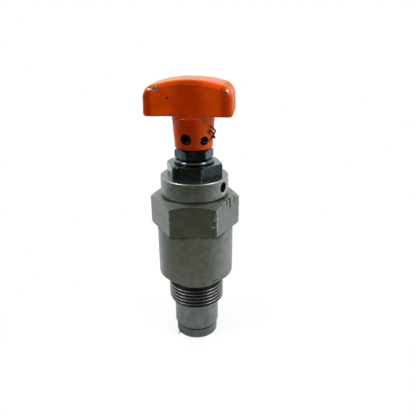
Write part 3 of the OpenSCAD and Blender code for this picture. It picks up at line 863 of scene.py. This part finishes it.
def cap_marks(at, colour, rough, height):
    """Top edge rubbed bright with a painted highlight, bruised pin hole rim, painted shade in neck and hole.
    """
    z = at.z
    # The bright round is real polish and also a painted highlight, kept to its lower half where the lamps
    # catch it.
    rubbed = z.over(cap_top - 0.85, cap_top - 0.65) * z.over(cap_top - 0.04, cap_top - 0.2)
    rubbed = rubbed * at.r.over(cap_r - 1, cap_r - 0.7)
    aside, out = at_angle(at, pin_hole_angle)
    up = z - pin_hole_z * mm
    from_hole, outside = aside * aside + up * up, out.over(10, 12)
    bruised = from_hole.rise(12.5 * mm * mm, 7.0 * mm * mm) * outside * (z - 0.6 * aside).over(88.6, 86.6)
    in_hole = from_hole.rise(7.8 * mm * mm, 6.9 * mm * mm) * outside
    # Painted shade in the neck under the cap and inside the pin hole.
    recess_shade = z.over(cap_low + 0.35, cap_low - 0.05).most(in_hole)
    colour = colour.mix((0.72, 0.73, 0.7), (0.45 * rubbed).most(bruised)).mix(dirt_and_shade_black, 0.8 * recess_shade)
    return colour, rough + 0.08 * rubbed - 0.08 * bruised + 0.2 * recess_shade, height * (1 - 0.8 * rubbed)


def from_front(degrees, z):
    """A frame whose Z axis leaves the valve's axis at an angle from the front, at a height."""
    across = Matrix.Rotation(math.radians(degrees - 90), 4, "Z") @ Matrix.Rotation(math.pi / 2, 4, "Y")
    return Matrix.Translation((0, 0, z * mm)) @ across


def spigot(low, radius, groove_r, groove_low, groove_top, top):
    """The outline of a spigot that fits in a bore: its chamfered entry, its O-ring groove and its top."""
    outside = radius - fit
    return [
        (outside - entry, low + fit), (outside, low + entry + fit), (outside, groove_low),
        (groove_r, groove_low), (groove_r, groove_top), (outside, groove_top), (outside, top + fit),
    ]


cap_steel = steel("cap_steel", (0.198, 0.222, 0.204), (0.323, 0.358, 0.337), 0.34, cap_marks, 2600, 0.009)
cap_edge = [
    (cap_r - cap_round * (1 - math.cos(a)), cap_top - cap_round * (1 - math.sin(a)))
    for a in np.radians(np.linspace(0, 90, 9))
]
cap_rings = turned(evenly(), [
    (piston_bore, spigot_z + entry), (piston_bore + 0.5, spigot_z + fit),
    *spigot(spigot_z, spigot_r, cap_groove_r, cap_groove_low, cap_groove_top, hex_top),
    (neck_r, hex_top + fit), (neck_r, cap_low), (cap_r - 0.3, cap_low), (cap_r, cap_low + 0.3),
    *cap_edge, (shank_r + 0.2, cap_top), (shank_r, cap_top - 0.2), (shank_r, shank_low),
    (piston_bore, shank_low), (piston_bore, spigot_z + entry + 0.1),
])
cap = piece_from("cap", cap_rings, [cap_steel], "valve_body", "cap_steel", "cap_sleeve")
pin_profile = [
    (0.05, cap_r - pin_hole_depth - 0.6), (pin_hole_r, cap_r - pin_hole_depth),
    (pin_hole_r, cap_r - 0.3), (pin_hole_r + 0.7, cap_r + 0.4),
]
drilled(cap, drill(pin_profile, from_front(pin_hole_angle, pin_hole_z), 64))
crisp(cap)


# Bonnet: a blackened hexagon nut, screwed into the cap, in which the spindle's thread runs.
# Its black oxide is oily, has a painted blue-grey sheen where it catches the light, and is worn at the
# corners.
bonnet_half, bonnet_turn, bonnet_round, bonnet_top = 12.7, -15.5, 0.25, 100.2
bonnet_corner_r, bonnet_chamfer, bonnet_nick_at = 14.55, 1.3, (3.7, -14.0, 94.1)
thread_bore = 5.05
bonnet_groove_r, bonnet_groove_low, bonnet_groove_top = 8.3, 91.3, 93.1


def blackened(name, dark, light, film, corner_r=None, nick_at=None, painted_sheen=None, blue=(0.21, 0.3, 0.33)):
    """Black oxide: a smoky film, a painted sheen where light falls, and grey steel at worn corners and nicks.
    """

    def paint():
        at = place()
        lines = tool_lines(at, 4200).noise(1.0, 3.0, 0.6)
        smoke = at.noise(330, 5.0, 0.62, 0.7)
        smear = at.scaled(1, 1, 0.35).noise(1200, 3.0)
        tone = 0.6 * smoke + 0.25 * smear + 0.15 * lines
        colour = Shade.mixed(dark, light, tone.rise(0.35, 0.68))
        # Painted sheen: the colour is lighter and bluer where light falls on the part.
        if painted_sheen:
            colour = colour.mix(blue, 0.5 * painted_sheen(at))
        worn = at.noise(2300, 2.0).rise(0.69, 0.75)
        if corner_r:
            edge = at.r.over(corner_r - 0.22, corner_r)
            worn = worn.most(edge * at.noise(1500, 3.0).rise(0.5, 0.7))
        if nick_at:
            worn = worn.most((near_spot(at, nick_at, (1, 1, 1)) + 0.4 * at.noise(2500)).rise(0.85, 0.5))
        rough = film * (0.46 + 0.6 * smoke + 0.48 * smear)
        height = 0.6 * lines + 0.4 * smear - 0.5 * worn
        return surface(colour.mix((0.28, 0.29, 0.29), 0.7 * worn), rough, height, 0.008)

    return metal(name, paint)


def bonnet_painted_sheen(at):
    """The painted sheen on the bonnet's top, stronger to the right, and on the edge of its left side."""
    top = at.z.over(bonnet_top - 0.3, bonnet_top - 0.1)
    left = at.along((-1, 0, 0)).over(9.5, 11) * at.z.over(bonnet_top - 0.15, bonnet_top - 0.3)
    return (top * (0.3 + 0.8 * abs(at.x).over(1, 6) + 0.55 * at.x.over(1, 6))).most(2 * left)


bonnet_black = blackened(
    "bonnet_black", (0.022, 0.027, 0.028), (0.062, 0.076, 0.08), 0.3,
    bonnet_corner_r, bonnet_nick_at, bonnet_painted_sheen
)
bonnet_angles = hex_angles(bonnet_turn)
bonnet_rings = turned(bonnet_angles, [
    (thread_bore, shank_low + 0.5), (thread_bore + 0.4, shank_low + fit),
    *spigot(shank_low, shank_r, bonnet_groove_r, bonnet_groove_low, bonnet_groove_top, cap_top),
])
bonnet_rings += hex_bar(
    bonnet_angles, bonnet_half, bonnet_turn, bonnet_round, cap_top + fit, bonnet_top,
    bonnet_corner_r, bonnet_corner_r - bonnet_chamfer
)
bonnet_rings += turned(bonnet_angles, [
    (thread_bore + 0.5, bonnet_top), (thread_bore, bonnet_top - 0.5), (thread_bore, shank_low + 0.6),
])
bonnet = piece_from("bonnet_nut", bonnet_rings, [bonnet_black], "valve_body", "black_oxide", "bonnet")
crisp(bonnet)


# Spindle: the M10x1.5 adjuster screw, turned steel with a plain tip and a snap ring that stops it.
# Only its thread under the knob shows, when the knob is wound out.
spindle_r, spindle_root, spindle_pitch = 5.0, 4.08, 1.5
spindle_low, tip_top, spindle_top = 76.34, 81.34, 121.74
tip_r, stop_r, stop_low, stop_top = 4.2, 3.6, 77.74, 78.94
screw_start_turn, screw_lead, screw_step, core_r = 0.1, 0.1, 0.08, 0.3
spindle_steel = steel("spindle_steel", (0.22, 0.225, 0.225), (0.36, 0.365, 0.36), 0.34, None, 5200, 0.002)
spindle_angles = evenly(96)
spindle_rings = turned(spindle_angles, [
    (core_r, spindle_low), (tip_r - 0.6, spindle_low), (tip_r, spindle_low + 0.6), (tip_r, stop_low),
    (stop_r, stop_low), (stop_r, stop_top), (tip_r, stop_top), (tip_r, tip_top),
], 0.08)
below_screw = len(spindle_rings)
spindle_thread, spindle_normals = threads(
    spindle_angles, spindle_r, spindle_root, spindle_pitch, tip_top, spindle_top,
    screw_start_turn, screw_lead, screw_step, 0
)
spindle_rings += spindle_thread
spindle_rings.append(ring(spindle_angles, core_r, spindle_top))
spindle = piece_from(
    "adjuster_screw", spindle_rings, [spindle_steel], "adjuster", "inner_steel", "spindle", closed=False
)
shaded(spindle, below_screw, spindle_normals)
dress(spring_steel, "stop_ring")


# Seal ring: a hard black ring with a round, polished rim, clamped on the bonnet by the lock nut.
# Its oxide is brownish in front, partly a painted reflection of the knob, with a painted blue-grey sheen at
# its sides.
ring_low, ring_top, ring_r, ring_edge = 100.22, 102.22, 10.3, 0.3
# The brownish colours are partly a painted reflection of the orange knob, and the sides get a painted sheen.
ring_black = blackened(
    "ring_black", (0.16, 0.135, 0.125), (0.38, 0.34, 0.33), 0.2,
    painted_sheen=lambda at: 1.6 * abs(at.x).over(2, 3.5),
    blue=(0.112, 0.172, 0.208),
)
rim = (ring_top - ring_low) / 2
rim_corners = [
    (ring_r - rim + rim * math.cos(a), ring_low + rim + rim * math.sin(a))
    for a in np.radians(np.linspace(-88, 88, 15))
]
ring_corners = [
    (thread_bore + ring_edge, ring_low), *rim_corners, (thread_bore + ring_edge, ring_top),
    (thread_bore, ring_top - ring_edge), (thread_bore, ring_low + ring_edge),
]
ring_rings = [ring(evenly(), r, z) for r, z in ring_corners]
seal = piece_from("rim_ring", ring_rings, [ring_black], "nut_seal", "ring_black", "seal_ring")
crisp(seal)


# Lock nut: a thin blackened M10 nut, chamfered on both faces, that holds the spindle's setting.
# It is 17 mm across its flats, and its left side has more painted sheen than its right side.
nut_half, nut_turn, nut_round, nut_low, nut_top = 8.5, 7.0, 0.2, 102.24, 107.24
nut_corner_r, nut_face_r, nut_edge = 9.64, 8.25, 0.4
# The painted sheen is stronger on the left side than on the right.
nut_black = blackened(
    "nut_black", (0.024, 0.028, 0.028), (0.07, 0.085, 0.088), 0.3, nut_corner_r,
    painted_sheen=lambda at: (0.6 * at.along((-1, 0, 0)).over(5, 7)).most(0.15 * at.x.over(5, 7)),
)
nut_angles = hex_angles(nut_turn, 24)
nut_rings = [
    ring(nut_angles, thread_bore, nut_low + nut_edge), ring(nut_angles, thread_bore + nut_edge, nut_low),
    *hex_bar(nut_angles, nut_half, nut_turn, nut_round, nut_low, nut_top, nut_face_r, nut_face_r),
    ring(nut_angles, thread_bore + nut_edge, nut_top), ring(nut_angles, thread_bore, nut_top - nut_edge),
]
nut = piece_from("thin_nut", nut_rings, [nut_black], "nut", "nut_black", "lock_nut")
crisp(nut)


# Knob: a cast T-handle with an arched, waisted grip on a tapered hub, bored for the spindle.
# It has thick glossy orange paint, chipped to grey metal at the grip's top edge and by the hub.
hub_low, grip_low, grip_turn, grip_lean = 107.74, 124.14, -7.5, 2.0
grip_shift, grip_half, grip_high, arch_r = -1.3, 21.2, 16.6, 60.0
waist_half, end_half, flare_end = 9.5, 10.75, 20.2
edge_round, corner_round, bottom_round = 2.4, 4.2, 1.5
hub_low_r, hub_top_r, hub_round, fillet, ledge = 9.4, 10.5, 0.5, 1.5, 3.0
bore_r, bore_top = 5.02, 121.94
screw_z, screw_angles, screw_hole_r = 112.94, (-22, 158), 2.62
wire_z, wire_angles, wire_hole_r = 112.24, (33, 94), 2.1
net_step, net_low, net_high = 0.36, (-24.2, -14.2, 107.0), (21.8, 14.2, 141.8)
end_draft, ledge_start, ledge_slope, hub_reach, hole_edge = 0.6, 1.7, 0.45, 6, 0.35
hub_holes = [(degrees, screw_z, screw_hole_r) for degrees in screw_angles]
hub_holes += [(degrees, wire_z, wire_hole_r) for degrees in wire_angles]


def both(a, b, radius):
    """Inside both shapes, with the edge between them rounded."""
    u, v = np.maximum(a + radius, 0), np.maximum(b + radius, 0)
    return np.sqrt(u * u + v * v) + np.minimum(np.maximum(a, b), -radius)


def either(a, b, radius):
    """Inside either shape, with a fillet where they meet."""
    u, v = np.maximum(radius - a, 0), np.maximum(radius - b, 0)
    return np.maximum(np.minimum(a, b), radius) - np.sqrt(u * u + v * v)


def knob_depth(x, y, z):
    """How far a point in millimetres is outside the cast handle. It is negative inside."""
    turn, lean = math.radians(grip_turn), math.radians(grip_lean)
    u = x * math.cos(turn) + y * math.sin(turn) - grip_shift
    v = -x * math.sin(turn) + y * math.cos(turn)
    w = z - grip_low
    v, w = v * math.cos(lean) + w * math.sin(lean), -v * math.sin(lean) + w * math.cos(lean)
    arch = np.sqrt(u * u + (w - grip_high + arch_r) ** 2) - arch_r
    end = np.abs(u) - grip_half + end_draft * w / grip_high
    flare = (1 - np.cos(math.pi * np.minimum(np.abs(u) / flare_end, 1))) / 2
    face = np.abs(v) - waist_half - (end_half - waist_half) * flare
    grip = both(both(both(arch, end, corner_round), face, edge_round), -w, bottom_round)
    r = np.sqrt(x * x + y * y)
    taper = (hub_top_r - hub_low_r) / (grip_low - hub_low)
    hub_r = hub_low_r + taper * (z - hub_low) - np.clip(ledge_slope * (z - grip_low + ledge_start), 0, ledge)
    hub = both(r - hub_r, hub_low - z, hub_round)
    hub = np.maximum(hub, z - grip_low - hub_reach)
    cast = either(grip, hub, fillet)
    waves = 0.05 * np.sin(0.42 * x + 0.9) * np.sin(0.5 * y + 0.3 * z) + 0.03 * np.sin(0.9 * x - 0.7 * z)
    cast = cast + 0.015 + waves
    bore = np.maximum(r - bore_r, z - bore_top)
    cast = both(cast, -bore, 0.3)
    for degrees, height, radius in hub_holes:
        a = math.radians(degrees)
        aside = x * math.cos(a) + y * math.sin(a)
        out = x * math.sin(a) - y * math.cos(a)
        hole = np.maximum(np.sqrt(aside ** 2 + (z - height) ** 2) - radius, -out)
        cast = both(cast, -hole, hole_edge)
    return cast


def netted(depth, low, high, step):
    """Points and faces of the surface where a depth function is 0, by a net of one point per grid cell."""
    axes = [np.arange(a, b + step, step) for a, b in zip(low, high)]
    grid = depth(*np.meshgrid(*axes, indexing="ij"))
    inside = grid < 0
    shape = [n - 1 for n in grid.shape]
    total, hits = np.zeros(shape + [3]), np.zeros(shape)
    cells = [slice(None, -1), slice(1, None)]
    for axis in range(3):
        one, other = [i for i in range(3) if i != axis]
        for a, b in ((0, 0), (0, 1), (1, 0), (1, 1)):
            near, far = [None] * 3, [None] * 3
            near[axis], far[axis] = cells
            near[one] = far[one] = cells[a]
            near[other] = far[other] = cells[b]
            first, second = grid[tuple(near)], grid[tuple(far)]
            crossed = (first < 0) != (second < 0)
            total[..., axis] += np.where(crossed, first / np.where(crossed, first - second, 1), 0)
            total[..., one] += a * crossed
            total[..., other] += b * crossed
            hits += crossed
    used = hits > 0
    number = np.full(used.shape, -1)
    number[used] = np.arange(used.sum())
    where = np.argwhere(used)
    points = np.array(low) + step * (where + total[used] / hits[used][:, None])
    faces = []
    for axis in range(3):
        one, other = (axis + 1) % 3, (axis + 2) % 3
        near, far = [slice(1, -1)] * 3, [slice(1, -1)] * 3
        near[axis], far[axis] = cells
        base = np.argwhere(inside[tuple(near)] != inside[tuple(far)]) + 1
        base[:, axis] -= 1
        leaving = inside[tuple(base.T)]
        corners = []
        for a, b in ((1, 1), (0, 1), (0, 0), (1, 0)):
            cell = base.copy()
            cell[:, one] -= a
            cell[:, other] -= b
            corners.append(number[tuple(cell.T)])
        quads = np.stack(corners, 1)
        quads[~leaving] = quads[~leaving][:, ::-1]
        faces.append(quads)
    return points, np.concatenate(faces)


def outward(points, depth, reach=0.02):
    """The depth at some points, and its direction of growth."""
    at = depth(*points.T)
    slopes = []
    for axis in range(3):
        shift = np.zeros(3)
        shift[axis] = reach
        slopes.append((depth(*(points + shift).T) - depth(*(points - shift).T)) / (2 * reach))
    return at, np.stack(slopes, 1)


knob_points, knob_faces = netted(knob_depth, net_low, net_high, net_step)
pulls, pull, least_slope = 3, 0.9, 0.3
for _ in range(pulls):
    off, slope = outward(knob_points, knob_depth)
    knob_points -= (off / np.maximum((slope ** 2).sum(1), least_slope))[:, None] * slope * pull
_, knob_normals = outward(knob_points, knob_depth)
knob_normals /= np.linalg.norm(knob_normals, axis=1)[:, None]
knob_mesh = bpy.data.meshes.new("t_handle")
knob_mesh.from_pydata((knob_points * mm).tolist(), [], knob_faces.tolist())
knob_mesh.polygons.foreach_set("use_smooth", [True] * len(knob_mesh.polygons))

paint_chips = (
    ((-17.3, -8.8, 136.3), (1.0, 1.2, 0.75)),
    ((-16.0, -8.8, 136.95), (1.1, 1.2, 0.75)),
    ((-12.2, -9.1, 137.1), (0.6, 0.8, 0.35)),
    ((15.1, -13.1, 134.8), (0.85, 0.8, 0.5)),
    ((6.9, -10.6, 124.3), (1.3, 0.9, 0.4)),
    ((-11.8, -8.9, 131.5), (0.3, 0.6, 0.3)),
)
bruise_at = (-11.5, -8.9, 132.3)
# Two spots at the grip's front corners that are painted as glints.
painted_glint_spots = (((-19.3, -8.4, 136.25), (1.05, 1.2, 0.42)), ((15.8, -12.6, 136.0), (0.6, 1.2, 0.45)))


def knob_paint():
    """Thick glossy paint over a casting: orange peel, scuffs, chips to the metal, and painted shade in holes.

    Painted shade deepens its red in bands, painted light pales its crown, and it fades paler at the ends.
    """
    at = place()
    peel = at.noise(900, 2.0)
    cast = at.noise(210, 3.0, 0.55)
    scuff = at.scaled(1, 1, 0.3).noise(1100, 3.0, 0.6, 1.5).rise(0.68, 0.76)
    ragged = at.noise(1500, 3.0, 0.6)
    chipped, painted_glints, painted_hole_shade = at.noise(2100, 1.0).rise(0.79, 0.8), 0.0, 0.0
    for centre, radii in paint_chips:
        chipped = (near_spot(at, centre, radii) + ragged * 0.9).rise(1.5, 1.36).most(chipped)
    # Painted glints: lighter colour and more coat at the two corners.
    for centre, radii in painted_glint_spots:
        painted_glints = near_spot(at, centre, radii).rise(1.2, 0.7) + painted_glints
    # Painted shade inside the hub's side holes.
    for degrees, height, radius in hub_holes:
        aside, out = at_angle(at, degrees)
        up = at.z - height * mm
        in_hole = Shade.maths("SQRT", aside * aside + up * up).over(radius + hole_edge, radius + 0.12)
        painted_hole_shade = (in_hole * out.over(0, 1)).most(painted_hole_shade)
    in_bore = at.r.over(bore_r + 0.4, bore_r + 0.2)
    chipped = (in_bore * at.z.over(bore_top + 1, bore_top)).most(chipped)
    bruise = near_spot(at, bruise_at, (0.7, 1, 0.7)).rise(1.1, 0.6)
    hub_dirt = at.z.over(hub_low + 1.9, hub_low + 0.2) * cast.rise(0.35, 0.6)

    on_grip = at.z.over(grip_low - 1, grip_low)
    along, grip_cos = at_angle(at, grip_turn)[0], math.cos(math.radians(grip_turn))
    from_middle, from_left = abs(along - grip_shift * mm), abs(along - (grip_shift - 0.5) * mm)
    # Painted shade: darker red bands down the middle of the knob and near the grip's ends.
    band = from_left.over(15, 17.4) * from_left.over(20.2, 18.2)
    painted_shade_bands = from_middle.over(10.5, 2).most(on_grip * band)
    # Painted light: the crown of the grip is paler, as if lit from above.
    crown = at.vector("SUBTRACT", (0, 0, (grip_low + grip_high - arch_r) * mm)).scaled(grip_cos, 0, 1)
    painted_crown_light = crown.length().over(arch_r - 0.9, arch_r - 0.1)
    ends = from_middle.over(15.5, 18.5) * at.z.over(grip_low + 10.5, grip_low + 13.5)
    ends = on_grip * ends.most(from_middle.over(20.2, 21))

    bare = Shade.mixed((0.05, 0.06, 0.055), (0.3, 0.36, 0.33), at.noise(1900, 2.0).rise(0.4, 0.62))
    colour = Shade.mixed((0.68, 0.056, 0.001), (0.82, 0.073, 0.001), cast.rise(0.3, 0.7))
    for other, share in (
        ((0.8, 0.115, 0.006), 0.7 * (1 - on_grip)),
        ((0.38, 0.021, 0.001), (0.92 - 0.25 * on_grip) * painted_shade_bands),
        ((0.57, 0.15, 0.008), 0.8 * ends),
        ((0.58, 0.185, 0.012), 0.75 * painted_crown_light),
        ((0.2, 0.015, 0.004), (0.35 * scuff).most(0.45 * hub_dirt).most(0.9 * bruise)),
        ((1.0, 0.75, 0.62), 0.75 * painted_glints),
        (bare, chipped),
        ((0.022, 0.026, 0.02), 0.88 * painted_hole_shade),
    ):
        colour = colour.mix(other, share)
    sound = 1 - chipped.most(0.6 * scuff).most(painted_hole_shade)
    return {
        "Base Color": colour,
        "Metallic": 0.15 + 0.65 * chipped,
        "Roughness": 0.3 + 0.12 * cast + 0.15 * scuff + 0.2 * chipped,
        "Coat Weight": (0.3 + 0.2 * on_grip - 0.35 * ends) * sound + painted_glints,
        "Normal": bump(0.45 * cast + 0.12 * peel - 1.3 * chipped, 0.05),
    }


orange = material("orange_paint", knob_paint, Specular_IOR_Level=0.0, Coat_Roughness=0.06, Coat_IOR=1.5)
piece_from("t_handle", knob_mesh, [orange], "adjuster", "knob_paint", "knob")
knob_mesh.normals_split_custom_set_from_vertices(knob_normals.tolist())


# Set screws: blackened hexagon-socket screws in the hub, which clamp it on the spindle.
# The front one shows in its hole as a dark recess with a slightly lighter rim.
screw_r, screw_start, screw_end = 2.6, 5.02, 8.72
socket_half, socket_round, socket_depth, socket_edge_r = 1.3, 0.08, 1.85, 1.75


def joined(name, meshes):
    """One mesh out of several."""
    whole = bmesh.new()
    for mesh in meshes:
        whole.from_mesh(mesh)
    made = bpy.data.meshes.new(name)
    whole.to_mesh(made)
    whole.free()
    return made


screw_black = blackened("screw_black", (0.01, 0.01, 0.011), (0.03, 0.032, 0.034), 0.34)
socket_angles = hex_angles(0, 8)
socket_r = hex_radii(socket_angles, socket_half, 0, socket_round)
screw_rings = turned(socket_angles, [
    (1.0, screw_start + 0.5), (1.6, screw_start), (screw_r, screw_start + 0.7),
    (screw_r, screw_end - 0.35), (screw_r - 0.35, screw_end), (socket_edge_r, screw_end),
], 0.06)
socket = [(socket_r + 0.05, 0.1), (socket_r, 0.2), (socket_r, socket_depth), (0.05, socket_depth + 0.5)]
screw_rings += [ring(socket_angles, r, screw_end - deep) for r, deep in socket]
screw_meshes = [skin("screw", screw_rings, closed=False) for _ in screw_angles]
for degrees, mesh in zip(screw_angles, screw_meshes):
    mesh.transform(from_front(degrees, screw_z))
screw_pair = joined("socket_screws", screw_meshes)
screws = piece_from("socket_screws", screw_pair, [screw_black], "adjuster", "screw_black", "set_screws")
crisp(screws)


# Seal wire: two thin soft-steel wires twisted together, threaded through the hub's two side holes.
# Its cut ends were bent up by hand and left standing, and it has tarnished dark.
wire_r, strand_r, twist_pitch = 0.48, 0.25, 1.8
long_route = [
    (4.6, -6.9, 112.2), (5.5, -8.6, 111.9), (6.3, -8.9, 111.9), (7.2, -8.1, 112.1), (8.3, -7.0, 112.9),
    (9.1, -6.4, 114.0), (9.8, -6.0, 115.1), (10.4, -5.7, 116.1), (10.5, -5.7, 116.5), (10.3, -5.7, 116.9),
    (9.4, -6.0, 118.0), (8.4, -6.6, 119.0),
]
short_route = [
    (8.2, 0.6, 112.2), (9.6, 0.5, 112.2), (10.2, -0.6, 112.3), (10.2, -2.2, 112.7), (9.9, -4.0, 113.7),
    (9.7, -5.4, 114.8), (9.5, -6.0, 115.4), (9.0, -6.4, 116.1), (8.3, -6.9, 116.8), (7.9, -7.2, 116.8),
    (7.7, -7.4, 116.4), (7.6, -7.5, 115.8),
]


def smooth_route(points, each=10):
    """A curve through the points, with steps between each two of them."""
    p = np.array(points)
    p = np.vstack([2 * p[0] - p[1], p, 2 * p[-1] - p[-2]])
    out = []
    for before, start, end, after in zip(p, p[1:], p[2:], p[3:]):
        for t in np.arange(each) / each:
            out.append(0.5 * (
                2 * start + (end - before) * t + (2 * before - 5 * start + 4 * end - after) * t ** 2
                + (3 * start - before - 3 * end + after) * t ** 3
            ))
    return np.array(out + [p[-2]])


def strand(route, offset, sides=8):
    """One wire of the twist: a thin tube that winds round the route."""
    forward = np.gradient(route, axis=0)
    forward /= np.linalg.norm(forward, axis=1)[:, None]
    gone = np.concatenate([[0], np.cumsum(np.linalg.norm(np.diff(route, axis=0), axis=1))])
    across = np.cross(forward, (0.3, 0.2, 1))
    across /= np.linalg.norm(across, axis=1)[:, None]
    up = np.cross(forward, across)
    turn = (math.tau * gone / twist_pitch + offset)[:, None]
    middles = route + (wire_r - strand_r) * (np.cos(turn) * across + np.sin(turn) * up)
    return skin("strand", tube(middles, across, up, strand_r, sides), closed=False)


def wire_tarnish():
    """Soft steel wire: dark brown tarnish, with grey metal where it was bent and rubbed."""
    at = place()
    spots = at.noise(1400, 3.0)
    colour = Shade.mixed((0.02, 0.018, 0.016), (0.2, 0.19, 0.18), spots.rise(0.46, 0.7))
    return surface(colour, 0.32 + 0.3 * spots, spots, 0.01)


wire_mesh = joined("seal_wire", [
    strand(smooth_route(route), offset) for route in (long_route, short_route) for offset in (0, math.pi)
])
piece_from(
    "seal_wire", wire_mesh, [metal("wire_tarnish", wire_tarnish)], "adjuster", "wire_steel", "lock_wire"
)
